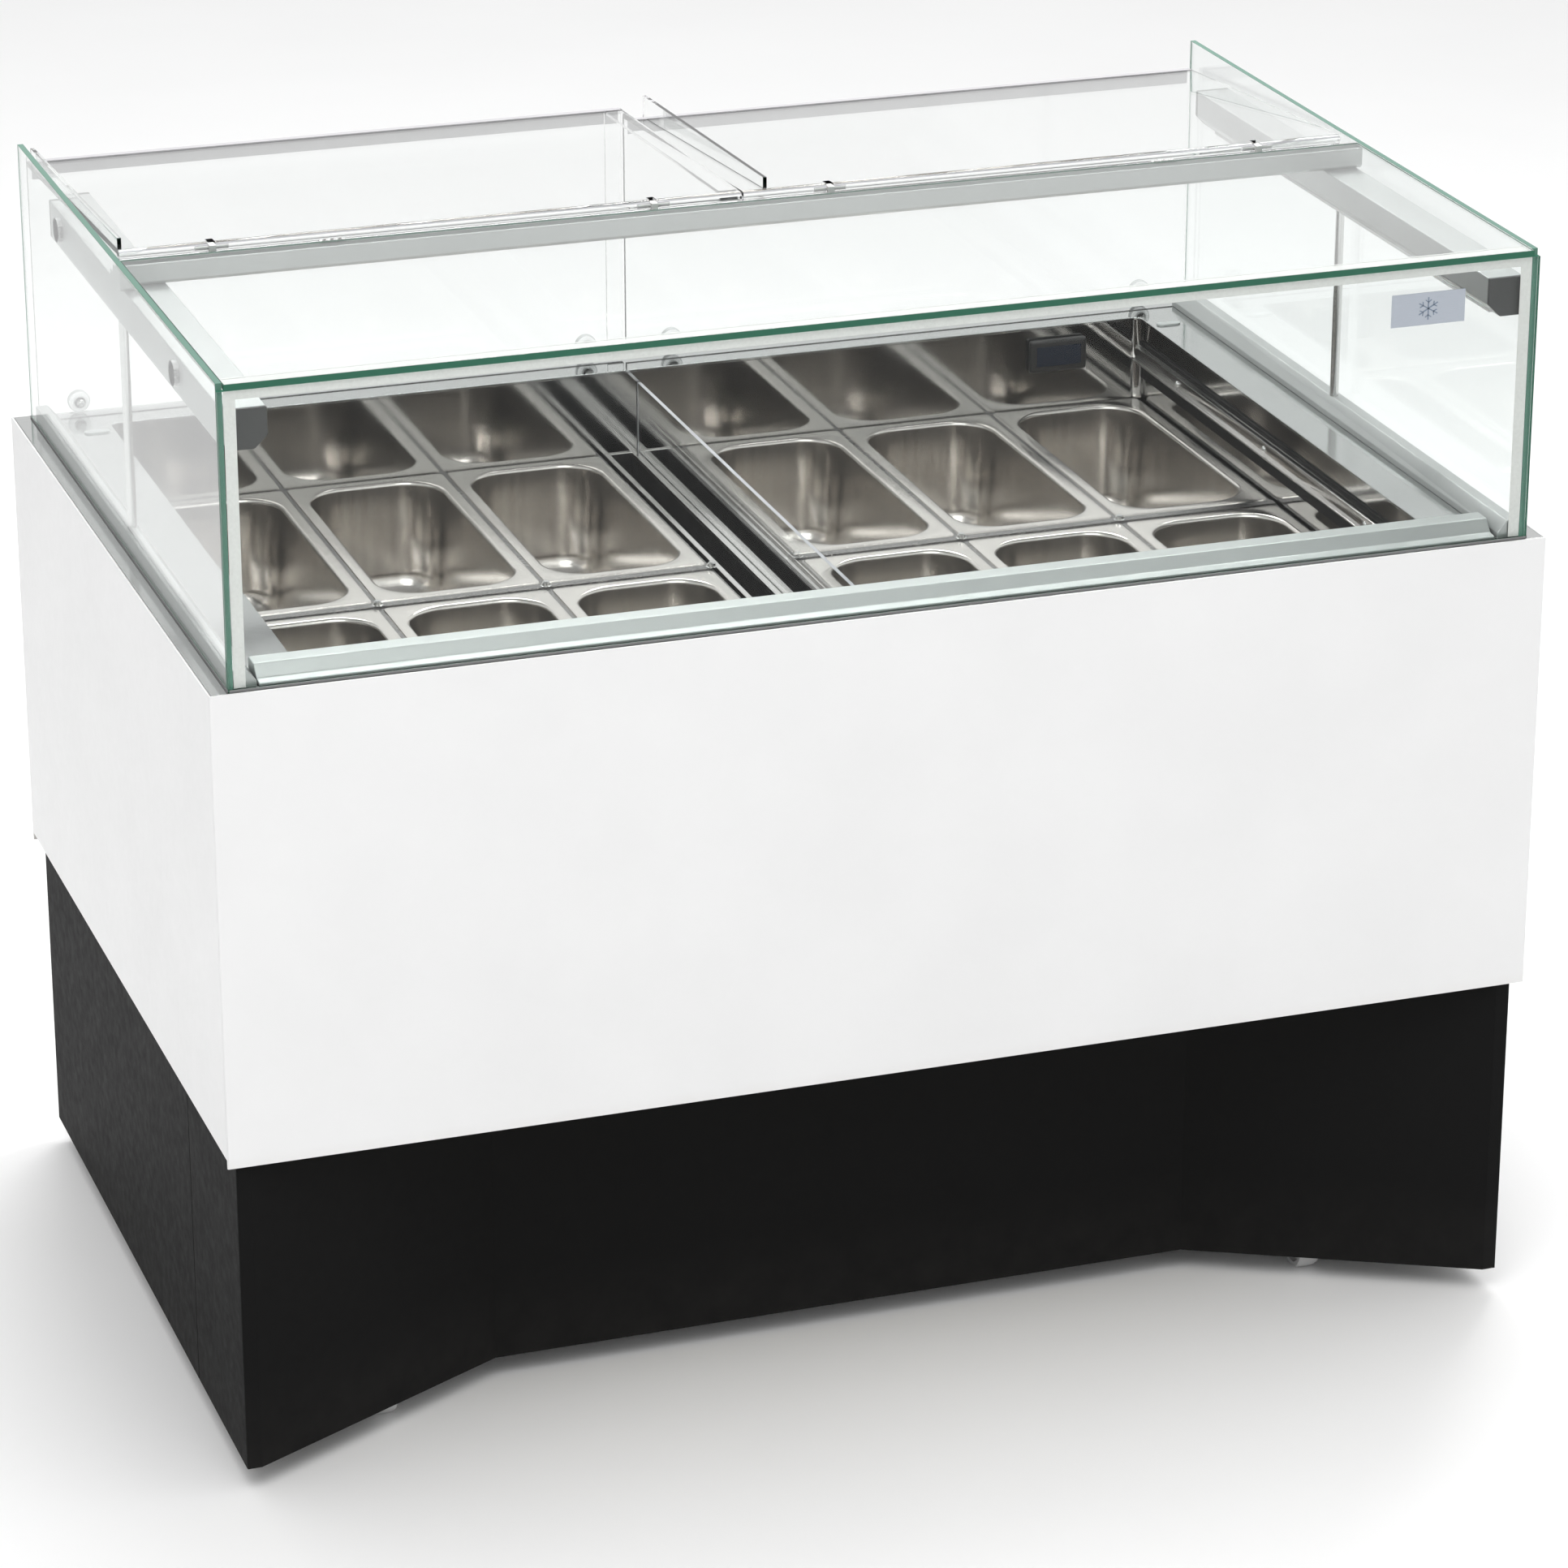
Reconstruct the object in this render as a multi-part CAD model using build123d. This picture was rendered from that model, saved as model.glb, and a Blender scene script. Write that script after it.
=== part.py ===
"""Ice cream dipping cabinet: twelve pans in a refrigerated well under a glass canopy.

Frame: millimetres, origin at the middle of the footprint on the floor.
+X is to the customer's right, -Y is the customer side, +Y the operator side, +Z up.
"""
from build123d import *
import os

# ---- driving dimensions -------------------------------------------------------------
WIDTH = 1320.0          # over the side panels
DEPTH = 850.0           # over the front and rear panels
PLINTH_BOTTOM = 25.0    # lower edge of the black plinth above the floor
BODY_BOTTOM = 345.0     # lower edge of the white body
WORKTOP = 812.0         # top of the white body
GLASS_TOP = 1100.0      # top of the glass canopy
SHEET = 2.0             # painted sheet
SEAM = 0.4              # gap between neighbouring panels
GLASS = 6.0             # canopy glass
ACRYLIC = 5.0           # rear covers
SIDE_PANEL_LIFT = 8.0   # side panels end this much higher than the front panel

# pans and well
PAN_ROWS = 2
PAN_COLUMNS = 3         # on each side of the divider
PAN_WIDTH = 168.0
PAN_LENGTH = 360.0
PAN_DEPTH = 120.0
PAN_PITCH_X = 172.0
PAN_ROW_Y = 189.0       # centre of a row from the middle of the well
PAN_RIM_Z = 722.0
PAN_SHEET = 1.2
PAN_TAPER = 3.0         # degrees, draft of the pan walls
GROUP_INNER = 47.0      # pans start this far from the middle
WELL_HALF_X = 566.0
WELL_HALF_Y = 371.0
WELL_FLOOR = 430.0
WELL_CORNER = 12.0
LINER_SHEET = 1.2
LINER_LIP = 12.0        # flange of the liner under the worktop
PAN_MOUTH_X = 22.0      # the mouth is this much narrower than the rim
PAN_MOUTH_Y = 24.0
PAN_MOUTH_CORNER = 44.0
PAN_FOOT_RADIUS = 16.0
RACK_BAR = 20.0         # rack bars between neighbouring pans
RACK_END_BAR = 11.0
RACK_RIB = 10.0         # rib that shows between the two rows
RACK_HEIGHT = 8.0
DIVIDER_FOOT = 652.0
DIVIDER_PLATE_RISE = 76.0
CHANNELS = ((-37.0, -13.0), (9.0, 33.0))    # air channels of the divider, in x

# plinth plan
PLINTH_INSET = 10.0
PLINTH_FLAT = 14.0      # short flat at each front corner
PLINTH_BEND_X = 364.0
PLINTH_BEND_Y = -273.0
PLINTH_SEAM_Y = -221.0

# canopy
GLASS_X = 641.0         # outer face of the side glasses
FRONT_GLASS_Y = -420.0  # outer face of the front glass
SIDE_GLASS_REAR = 417.0
TOP_GLASS_REAR = -16.0
BAR_FRONT = -30.0
BAR_REAR = 10.0
BAR_BOTTOM = 1073.0
BEAM_OUTER = 630.0
BEAM_WIDTH = 36.0
BEAM_BOTTOM = 1035.0
BEAM_FRONT = -405.0
BEAM_REAR = 298.0
RAIL_HEIGHT = 18.0

# rear covers
HINGE_Y = 18.0
HINGE_Z = 1095.0
BEAD_RADIUS = 5.0
HINGE_PIN_RADIUS = 2.0
RUNNING_GAP = 0.05
COVER_SPLIT_X = -8.0
COVER_SIDE_X = 629.0
LEFT_COVER_REAR = 412.0
RIGHT_COVER_REAR = 406.0
LEFT_COVER_DROP = 16.0  # fall of the cover's top from hinge to rear
RIGHT_COVER_DROP = 27.0
COVER_BOTTOM = 815.0
COVER_FLANGE_RISE = 11.0
KNOB_RADIUS = 11.5
HINGE_OFFSET = 90.0     # hinge from the ends of each cover
EAR_WIDTH = 6.0

# rear of the plinth
CONTROL_X = 470.0
CONTROL_Z = 296.0
CONTROL_WIDTH = 180.0
CONTROL_HEIGHT = 60.0
SWITCH_X = 530.0
SWITCH_TILT = 8.0       # degrees, the rocker rests switched on
INLET_X = -560.0
INLET_Z = 90.0
INLET_RADIUS = 11.0
GLAND_BORE_RADIUS = 4.0
GRILLE_COLUMNS = 6
GRILLE_ROWS = 9
GRILLE_SLOT = 10.0

# refrigeration
CHASSIS_TUBE = 30.0
TRAY_TOP = 106.0
COMPRESSOR_X = 300.0
COMPRESSOR_Y = 210.0
COMPRESSOR_RADIUS = 72.0
CONDENSER_X = -230.0
CONDENSER_Y = 330.0
CONDENSER_HALF = 150.0
CONDENSER_FINS = 24
FAN_Y = 285.0
FAN_Z = TRAY_TOP + 112
FAN_RADIUS = 92.0
FAN_BLADES = 5
FAN_SHAFT_RADIUS = 4.0
EVAPORATOR_HALF = 330.0
EVAPORATOR_FINS = 30

# castors
WHEEL_RADIUS = 25.0
WHEEL_WIDTH = 22.0
CASTOR_X = 488.0
CASTOR_FRONT_Y = -274.0
CASTOR_REAR_Y = 330.0
CASTOR_TRAIL = 22.0
CASTOR_TOP = 72.0
AXLE_RADIUS = 4.0

HALF_W = WIDTH / 2
HALF_D = DEPTH / 2


# ---- helpers ------------------------------------------------------------------------
def block(x0, x1, y0, y1, z0, z1):
    """Box between two corners."""
    size = (x1 - x0, y1 - y0, z1 - z0)
    return Pos((x0 + x1) / 2, (y0 + y1) / 2, (z0 + z1) / 2) * Box(*size)


def rounded_slab(width, length, radius, z0, z1):
    """Upright prism with rounded vertical edges, centred on the origin."""
    return Pos(0, 0, z0) * extrude(RectangleRounded(width, length, radius), z1 - z0)


def prism_y(points, y0, y1):
    """Profile given as (x, z) points, extruded from y0 to y1."""
    face = make_face(Plane.XZ * Polyline(*points, close=True))
    return Pos(0, y0, 0) * extrude(face, amount=y1 - y0, dir=(0, 1, 0))


def prism_x(points, x0, x1):
    """Profile given as (y, z) points, extruded from x0 to x1."""
    face = make_face(Plane.YZ * Polyline(*points, close=True))
    return Pos(x0, 0, 0) * extrude(face, amount=x1 - x0, dir=(1, 0, 0))


def prism_z(points, z0, z1):
    """Profile given as (x, y) points, extruded from z0 to z1."""
    face = make_face(Polyline(*points, close=True))
    return Pos(0, 0, z0) * extrude(face, amount=z1 - z0, dir=(0, 0, 1))


def rod_x(radius, x0, x1, y, z):
    """Cylinder along X."""
    return Pos((x0 + x1) / 2, y, z) * Rot(0, 90, 0) * Cylinder(radius, x1 - x0)


def rod_y(radius, y0, y1, x, z):
    """Cylinder along Y."""
    return Pos(x, (y0 + y1) / 2, z) * Rot(90, 0, 0) * Cylinder(radius, y1 - y0)


def rod_z(radius, z0, z1, x, y):
    """Cylinder along Z."""
    return Pos(x, y, (z0 + z1) / 2) * Cylinder(radius, z1 - z0)


def both_sides(shape):
    """The shape and its mirror image across the middle plane."""
    return [shape, mirror(shape, Plane.YZ)]


parts = {}


def add(name, shapes):
    """Keep a sub-part as one compound of its separate solids."""
    group = shapes if isinstance(shapes, list) else [shapes]
    solids = [solid for shape in group for solid in shape.solids()]
    parts[name] = Compound(label=name, children=solids)


# ---- body ---------------------------------------------------------------------------
def make_body_panels():
    inner_x = HALF_W - SHEET
    inner_y = HALF_D - SHEET
    front = block(-HALF_W, HALF_W, -HALF_D, -inner_y, BODY_BOTTOM, WORKTOP)
    upright = front.edges().filter_by(Axis.Z).group_by(Axis.Y)[0]
    add("front_panel", fillet(upright, 1.5))
    side = block(inner_x, HALF_W, -inner_y + SEAM, inner_y - SEAM,
                 BODY_BOTTOM + SIDE_PANEL_LIFT, WORKTOP)
    add("side_panels", both_sides(side))
    add("rear_panel", block(-HALF_W, HALF_W, inner_y, HALF_D, BODY_BOTTOM, WORKTOP))


def make_insulation_and_liner():
    outer_x = WELL_HALF_X + LINER_SHEET
    outer_y = WELL_HALF_Y + LINER_SHEET
    lip_z = WORKTOP - 4.2
    floor = WELL_FLOOR - LINER_SHEET
    foam_top = lip_z - 0.3
    foam_x = HALF_W - SHEET - 0.5
    foam_y = HALF_D - SHEET - 0.5
    foam = block(-foam_x, foam_x, -foam_y, foam_y, BODY_BOTTOM + 5, foam_top)
    foam -= rounded_slab(2 * outer_x + 0.6, 2 * outer_y + 0.6, WELL_CORNER + 0.3, floor - 0.3,
                         foam_top + 1)
    add("foam_insulation", foam)

    liner = rounded_slab(2 * outer_x, 2 * outer_y, WELL_CORNER, floor, lip_z)
    liner += rounded_slab(2 * (outer_x + LINER_LIP), 2 * (outer_y + LINER_LIP), WELL_CORNER + 2,
                          lip_z, lip_z + LINER_SHEET)
    liner -= rounded_slab(2 * WELL_HALF_X, 2 * WELL_HALF_Y, WELL_CORNER - LINER_SHEET,
                          WELL_FLOOR, WORKTOP)
    add("inner_liner", liner)


def make_worktop():
    under = WORKTOP - 3.0
    half_x = HALF_W - SHEET - SEAM
    half_y = HALF_D - SHEET - SEAM
    top = block(-half_x, half_x, -half_y, half_y, under, WORKTOP)
    top -= rounded_slab(2 * WELL_HALF_X - 4, 2 * WELL_HALF_Y, 8, under - 1, WORKTOP + 1)
    add("worktop", top)


def make_front_kerb():
    """Low aluminium kerb between the front glass and the well."""
    foot = -412.0
    step = -402.0
    crest = -392.0
    back = -372.0
    profile = [(foot, WORKTOP), (foot, WORKTOP + 3), (step, WORKTOP + 4),
               (crest, WORKTOP + 15), (back, WORKTOP + 15), (back, WORKTOP)]
    half = GLASS_X - GLASS - 24
    add("front_kerb", prism_x(profile, -half, half))


def make_base_rails():
    """Aluminium rails that hold the foot of each side glass."""
    inner = GLASS_X - GLASS - 0.2
    profile = [(inner, WORKTOP), (inner, WORKTOP + RAIL_HEIGHT),
               (inner - 12, WORKTOP + RAIL_HEIGHT), (inner - 22, WORKTOP + 6),
               (inner - 22, WORKTOP)]
    add("glass_base_rails", both_sides(prism_y(profile, -412, 398)))


# ---- plinth -------------------------------------------------------------------------
def plinth_front_outline(offset):
    """Front line of the plinth in plan, from left to right, moved back by offset."""
    x_end = HALF_W - PLINTH_INSET
    y_end = -HALF_D + PLINTH_INSET + offset
    x_in = x_end - PLINTH_FLAT
    slope = (PLINTH_BEND_Y + HALF_D - PLINTH_INSET) / (x_in - PLINTH_BEND_X)
    shift = offset * slope / 2
    right = [(PLINTH_BEND_X - shift, PLINTH_BEND_Y + offset), (x_in - shift, y_end),
             (x_end, y_end)]
    left = [(-x, y) for x, y in reversed(right)]
    return left + right


def make_plinth():
    top = BODY_BOTTOM - 0.5
    outer = plinth_front_outline(0)
    inner = plinth_front_outline(SHEET)
    add("plinth_front", prism_z(outer + list(reversed(inner)), PLINTH_BOTTOM, top))

    x_out = HALF_W - PLINTH_INSET
    x_in = x_out - SHEET
    y_front = -HALF_D + PLINTH_INSET + SHEET + SEAM
    y_rear = HALF_D - PLINTH_INSET - SHEET - SEAM
    corner = block(x_in, x_out, y_front, PLINTH_SEAM_Y - 0.8, PLINTH_BOTTOM, top)
    side = block(x_in, x_out, PLINTH_SEAM_Y + 0.8, y_rear, PLINTH_BOTTOM, top)
    corner_right, corner_left = both_sides(corner)
    side_right, side_left = both_sides(side)
    add("plinth_side_right", [corner_right, side_right])
    add("plinth_side_left", [corner_left, side_left])
    make_rear_grille(x_out, top)


def make_rear_grille(x_out, top):
    """Ventilated rear plinth panel with openings for the control panel and the inlet."""
    y_out = HALF_D - PLINTH_INSET
    y_in = y_out - SHEET
    panel = block(-x_out, x_out, y_in, y_out, PLINTH_BOTTOM, top)
    for column in range(GRILLE_COLUMNS):
        x = -470 + column * 150
        for row in range(GRILLE_ROWS):
            z = 70 + row * 2 * GRILLE_SLOT
            panel -= block(x - 65, x + 65, y_in - 1, y_out + 1, z, z + GRILLE_SLOT)
    gap = 0.3
    panel -= block(CONTROL_X - CONTROL_WIDTH / 2 - gap, CONTROL_X + CONTROL_WIDTH / 2 + gap,
                   y_in - 1, y_out + 1,
                   CONTROL_Z - CONTROL_HEIGHT / 2 - gap, CONTROL_Z + CONTROL_HEIGHT / 2 + gap)
    panel -= rod_y(INLET_RADIUS, y_in - 1, y_out + 1, INLET_X, INLET_Z)
    add("plinth_rear_grille", panel)
    gland = rod_y(16, y_out, y_out + 4, INLET_X, INLET_Z)
    gland += rod_y(INLET_RADIUS, y_in - 12, y_out + 9, INLET_X, INLET_Z)
    gland -= rod_y(GLAND_BORE_RADIUS, y_in - 13, y_out + 10, INLET_X, INLET_Z)
    add("cable_gland", gland)


def make_control_panel():
    """Rear control panel: bezel, display window, keys and a rocker switch."""
    y_face = HALF_D - PLINTH_INSET + 2
    x0 = CONTROL_X - CONTROL_WIDTH / 2
    x1 = CONTROL_X + CONTROL_WIDTH / 2
    z0 = CONTROL_Z - CONTROL_HEIGHT / 2
    z1 = CONTROL_Z + CONTROL_HEIGHT / 2
    panel = block(x0, x1, y_face - 40, y_face, z0, z1)
    panel -= block(x0 + 18, x0 + 86, y_face - 1.5, y_face + 1, z0 + 14, z1 - 14)
    panel -= block(SWITCH_X - 8, SWITCH_X + 8, y_face - 16, y_face + 1,
                   CONTROL_Z - 13, CONTROL_Z + 13)
    for key in range(4):
        panel += rod_y(3.5, y_face - 1, y_face + 0.8, x0 + 98 + 9 * (key % 2),
                       CONTROL_Z - 8 + 16 * (key // 2))
    add("control_panel", panel)

    pivot_y = y_face - 7
    profile = [(pivot_y - 5, CONTROL_Z - 4), (pivot_y + 4, CONTROL_Z - 11),
               (pivot_y + 9.5, CONTROL_Z - 11), (pivot_y + 7, CONTROL_Z),
               (pivot_y + 9.5, CONTROL_Z + 11), (pivot_y + 4, CONTROL_Z + 11),
               (pivot_y - 5, CONTROL_Z + 4)]
    rocker = prism_x(profile, SWITCH_X - 7, SWITCH_X + 7)
    pivot = Axis((SWITCH_X, pivot_y, CONTROL_Z), (1, 0, 0))
    add("power_switch", rocker.rotate(pivot, SWITCH_TILT))


# ---- pans and their rack ------------------------------------------------------------
def make_pan():
    """One gelato pan, rim at z = 0 and centred on the origin."""
    mouth_w = PAN_WIDTH - PAN_MOUTH_X
    mouth_l = PAN_LENGTH - PAN_MOUTH_Y
    outer_sketch = RectangleRounded(mouth_w, mouth_l, PAN_MOUTH_CORNER)
    inner_sketch = RectangleRounded(mouth_w - 2 * PAN_SHEET, mouth_l - 2 * PAN_SHEET,
                                    PAN_MOUTH_CORNER - PAN_SHEET)
    outer = extrude(outer_sketch, amount=PAN_DEPTH, dir=(0, 0, -1), taper=PAN_TAPER)
    inner = extrude(inner_sketch, amount=PAN_DEPTH - PAN_SHEET, dir=(0, 0, -1), taper=PAN_TAPER)
    outer = fillet(outer.edges().group_by(Axis.Z)[0], PAN_FOOT_RADIUS)
    inner = fillet(inner.edges().group_by(Axis.Z)[0], PAN_FOOT_RADIUS - PAN_SHEET)
    rim = Pos(0, 0, -PAN_SHEET) * extrude(RectangleRounded(PAN_WIDTH, PAN_LENGTH, 6), PAN_SHEET)
    return rim + outer - inner


def pan_places():
    """Name and centre of each pan, front row first, left to right."""
    places = []
    for row in range(PAN_ROWS):
        row_name = ("front", "rear")[row]
        y = (-PAN_ROW_Y, PAN_ROW_Y)[row]
        for column in range(2 * PAN_COLUMNS):
            side = -1 if column < PAN_COLUMNS else 1
            index = PAN_COLUMNS - 1 - column if side < 0 else column - PAN_COLUMNS
            x = side * (GROUP_INNER + PAN_PITCH_X * (index + 0.5))
            places.append((f"pan_{row_name}_{column + 1}", x, y))
    return places


def make_pans():
    pan = make_pan()
    for name, x, y in pan_places():
        add(name, Pos(x, y, PAN_RIM_Z) * pan)


def make_pan_rack():
    """Stainless rack on each side of the divider: straight bars that carry the pan rims."""
    top = PAN_RIM_Z - PAN_SHEET - 0.3
    bottom = top - 2.0
    x0 = GROUP_INNER
    x1 = x0 + PAN_COLUMNS * PAN_PITCH_X
    y1 = WELL_HALF_Y - 0.2
    row_end = y1 - RACK_END_BAR
    middle = 2 * PAN_ROW_Y - PAN_LENGTH + PAN_MOUTH_Y
    half_gap = (middle - 4) / 2
    half_rib = RACK_RIB / 2
    bars = [block(x0, x1, -half_rib, half_rib, top - RACK_HEIGHT, PAN_RIM_Z)]
    for side in (-1, 1):
        near, far = sorted((side * half_rib, side * half_gap))
        bars.append(block(x0, x1, near, far, bottom, top))
        near, far = sorted((side * row_end, side * y1))
        bars.append(block(x0, x1 - WELL_CORNER, near, far, bottom, top))
        for column in range(PAN_COLUMNS + 1):
            x = x0 + column * PAN_PITCH_X
            left = max(x - RACK_BAR / 2, x0)
            right = min(x + RACK_BAR / 2, x1)
            near, far = sorted((side * half_gap, side * row_end))
            bars.append(block(left, right, near, far, bottom, top))
    add("pan_rack", [solid for bar in bars for solid in both_sides(bar)])


def make_divider():
    """Stainless divider with two air channels, and the clear plate that stands in it."""
    half = GROUP_INNER - 4
    y1 = WELL_HALF_Y - 0.2
    groove = PAN_RIM_Z - 12
    body = block(-half, half, -y1, y1, DIVIDER_FOOT, PAN_RIM_Z)
    for x0, x1 in CHANNELS:
        body -= block(x0, x1, -y1 + 3, y1 - 3, DIVIDER_FOOT + 2, PAN_RIM_Z + 1)
    body -= block(37, 41, -y1 - 1, y1 + 1, PAN_RIM_Z - 6, PAN_RIM_Z + 1)
    body -= block(-6, -1.8, -y1 - 1, y1 + 1, groove, PAN_RIM_Z + 1)
    add("centre_divider", body)
    plate = block(-6, -2, -y1 + 1, y1 - 1, groove, PAN_RIM_Z + DIVIDER_PLATE_RISE)
    add("divider_plate", plate)


# ---- canopy -------------------------------------------------------------------------
def make_canopy_glass():
    foot = WORKTOP + 0.5
    under_top = GLASS_TOP - GLASS
    inner = GLASS_X - GLASS
    add("front_glass", block(-GLASS_X, GLASS_X, FRONT_GLASS_Y, FRONT_GLASS_Y + GLASS,
                             foot, under_top - 0.2))
    side = block(inner, GLASS_X, FRONT_GLASS_Y + GLASS + 0.3, SIDE_GLASS_REAR, foot, GLASS_TOP)
    right, left = both_sides(side)
    add("side_glass_right", right)
    add("side_glass_left", left)
    top = block(-inner + 0.3, inner - 0.3, FRONT_GLASS_Y, TOP_GLASS_REAR, under_top, GLASS_TOP)
    add("top_glass", top)


def make_cross_bar():
    """Aluminium bar under the rear edge of the top glass, stepped behind for the covers."""
    top = GLASS_TOP - GLASS
    step_y = -3.0
    step_z = top - 8
    profile = [(BAR_FRONT, BAR_BOTTOM + 3), (BAR_FRONT, top), (step_y, top), (step_y, step_z),
               (BAR_REAR, step_z), (BAR_REAR, BAR_BOTTOM), (BAR_FRONT + 3, BAR_BOTTOM)]
    half = GLASS_X - GLASS - 0.5
    add("cross_bar", prism_x(profile, -half, half))


def beam_profile():
    inner = BEAM_OUTER - BEAM_WIDTH
    bevel = 12.0
    return [(BEAM_OUTER, BEAM_BOTTOM), (BEAM_OUTER, BAR_BOTTOM), (inner, BAR_BOTTOM),
            (inner, BEAM_BOTTOM + bevel), (inner + bevel, BEAM_BOTTOM)]


def make_beams():
    beam = prism_y(beam_profile(), BEAM_FRONT, BEAM_REAR)
    add("canopy_beams", both_sides(beam))
    cap = 4.0
    front_cap = prism_y(beam_profile(), BEAM_FRONT - cap, BEAM_FRONT)
    rear_cap = prism_y(beam_profile(), BEAM_REAR, BEAM_REAR + cap)
    add("beam_end_caps", both_sides(front_cap) + both_sides(rear_cap))

    post_x = BEAM_OUTER - 4
    post = rod_z(4.5, WORKTOP + RAIL_HEIGHT, BEAM_BOTTOM, post_x, 0)
    add("canopy_posts", both_sides(post))

    discs = []
    for y in (-237, 252):
        disc = rod_x(12, BEAM_OUTER, GLASS_X - GLASS, y, 1056)
        discs += both_sides(disc)
    add("glass_fixing_discs", discs)

    lamp_x = BEAM_OUTER - BEAM_WIDTH / 2 + 1.5
    lamp = block(lamp_x - 7.5, lamp_x + 7.5, BEAM_FRONT + 20, BEAM_REAR - 20,
                 BEAM_BOTTOM - 3, BEAM_BOTTOM)
    bar_lamp = block(-560, 560, -18, -2, BAR_BOTTOM - 3, BAR_BOTTOM)
    add("led_strips", both_sides(lamp) + [bar_lamp])


# ---- rear covers --------------------------------------------------------------------
def hinge_xs(x0, x1):
    return (x0 + HINGE_OFFSET, x1 - HINGE_OFFSET)


def make_cover(x0, x1, rear, drop, flange_x):
    """L-shaped clear cover with a hinge bead in front and a flange standing on its top."""
    top_front = HINGE_Z + BEAD_RADIUS
    top_rear = top_front - drop
    outline = [(HINGE_Y, top_front), (rear, top_rear), (rear, COVER_BOTTOM),
               (rear - ACRYLIC, COVER_BOTTOM), (rear - ACRYLIC, top_rear - ACRYLIC),
               (HINGE_Y, top_front - ACRYLIC)]
    shell = prism_x(outline, x0, x1)
    bends = shell.edges().filter_by(Axis.X)
    outer_bend = bends.sort_by_distance(Vertex((x0 + x1) / 2, rear, top_rear))[0]
    shell = fillet(outer_bend, 4)
    cover = shell + rod_x(BEAD_RADIUS, x0, x1, HINGE_Y, HINGE_Z)
    flange_top_rear = top_front - LEFT_COVER_DROP + 12
    flange = [(HINGE_Y + 2, top_front - 3), (HINGE_Y + 2, top_front + COVER_FLANGE_RISE),
              (rear, flange_top_rear), (rear, top_rear - 3)]
    cover += prism_x(flange, flange_x, flange_x + 4)
    notch = EAR_WIDTH / 2 + 0.5
    for x in hinge_xs(x0, x1):
        cover -= block(x - notch, x + notch, HINGE_Y - 9, HINGE_Y + 10,
                       HINGE_Z - 12, HINGE_Z + 9)
        cover -= rod_x(HINGE_PIN_RADIUS + RUNNING_GAP, x - 16.5, x + 16.5, HINGE_Y, HINGE_Z)
    return cover


def make_cover_knobs(xs, rear):
    knobs = []
    z = WORKTOP + 1 + KNOB_RADIUS
    for x in xs:
        knob = rod_y(5, rear, rear + 5, x, z)
        knob += rod_y(KNOB_RADIUS, rear + 4, rear + 12, x, z)
        rim = knob.faces().sort_by(Axis.Y)[-1].edges()
        knobs.append(fillet(rim, 2))
    return knobs


def make_rear_covers():
    left_x = (-COVER_SIDE_X, COVER_SPLIT_X - 1)
    right_x = (COVER_SPLIT_X + 1, COVER_SIDE_X)
    left = make_cover(*left_x, LEFT_COVER_REAR, LEFT_COVER_DROP, left_x[0])
    slope = LEFT_COVER_DROP / (LEFT_COVER_REAR - HINGE_Y)
    under_front = HINGE_Z + BEAD_RADIUS - ACRYLIC - 12 * slope
    under_rear = HINGE_Z + BEAD_RADIUS - ACRYLIC - LEFT_COVER_DROP
    inside = LEFT_COVER_REAR - ACRYLIC
    lap = [(HINGE_Y + 12, under_front), (inside, under_rear), (inside, COVER_BOTTOM),
           (inside - 3, COVER_BOTTOM), (inside - 3, under_rear - 3),
           (HINGE_Y + 12, under_front - 3)]
    add("left_cover", left + prism_x(lap, left_x[1] - 18, left_x[1]))
    add("right_cover", make_cover(*right_x, RIGHT_COVER_REAR, RIGHT_COVER_DROP, 15))
    add("left_cover_knobs", make_cover_knobs((-586, -47), LEFT_COVER_REAR))
    add("right_cover_knobs", make_cover_knobs((46, 580), RIGHT_COVER_REAR))

    hinges = []
    for x in hinge_xs(*left_x) + hinge_xs(*right_x):
        ear = block(x - EAR_WIDTH / 2, x + EAR_WIDTH / 2, BAR_REAR, HINGE_Y + 3,
                    HINGE_Z - 11, HINGE_Z + 3)
        foot = block(x - 14, x + 14, BAR_REAR, BAR_REAR + 2, BAR_BOTTOM + 1, HINGE_Z - 11)
        pin = rod_x(HINGE_PIN_RADIUS, x - 16, x + 16, HINGE_Y, HINGE_Z)
        hinges.append(ear + foot + pin)
    add("cover_hinges", hinges)


# ---- refrigeration ------------------------------------------------------------------
def make_chassis():
    """Steel tray on a tube frame that carries the cabinet and the castors."""
    tube = CHASSIS_TUBE
    x1 = HALF_W - PLINTH_INSET - 12
    y1 = HALF_D - PLINTH_INSET - 12
    front = PLINTH_BEND_Y + 12
    tray_bottom = CASTOR_TOP + tube
    chassis = block(-x1, x1, front, y1, tray_bottom, TRAY_TOP)
    for x in (-CASTOR_X, -CASTOR_X / 3, CASTOR_X / 3, CASTOR_X):
        chassis += block(x - tube / 2, x + tube / 2, front, y1, CASTOR_TOP, tray_bottom)
    for side in (-1, 1):
        chassis += block(side * CASTOR_X - 45, side * CASTOR_X + 45, CASTOR_FRONT_Y - 32,
                         CASTOR_FRONT_Y + 60, CASTOR_TOP, tray_bottom)
        for y in (front + 60, y1 - tube):
            x = side * (x1 - 15)
            chassis += block(x - 15, x + 15, y - 15, y + 15, tray_bottom, BODY_BOTTOM + 4.5)
    add("chassis_frame", chassis)


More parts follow.
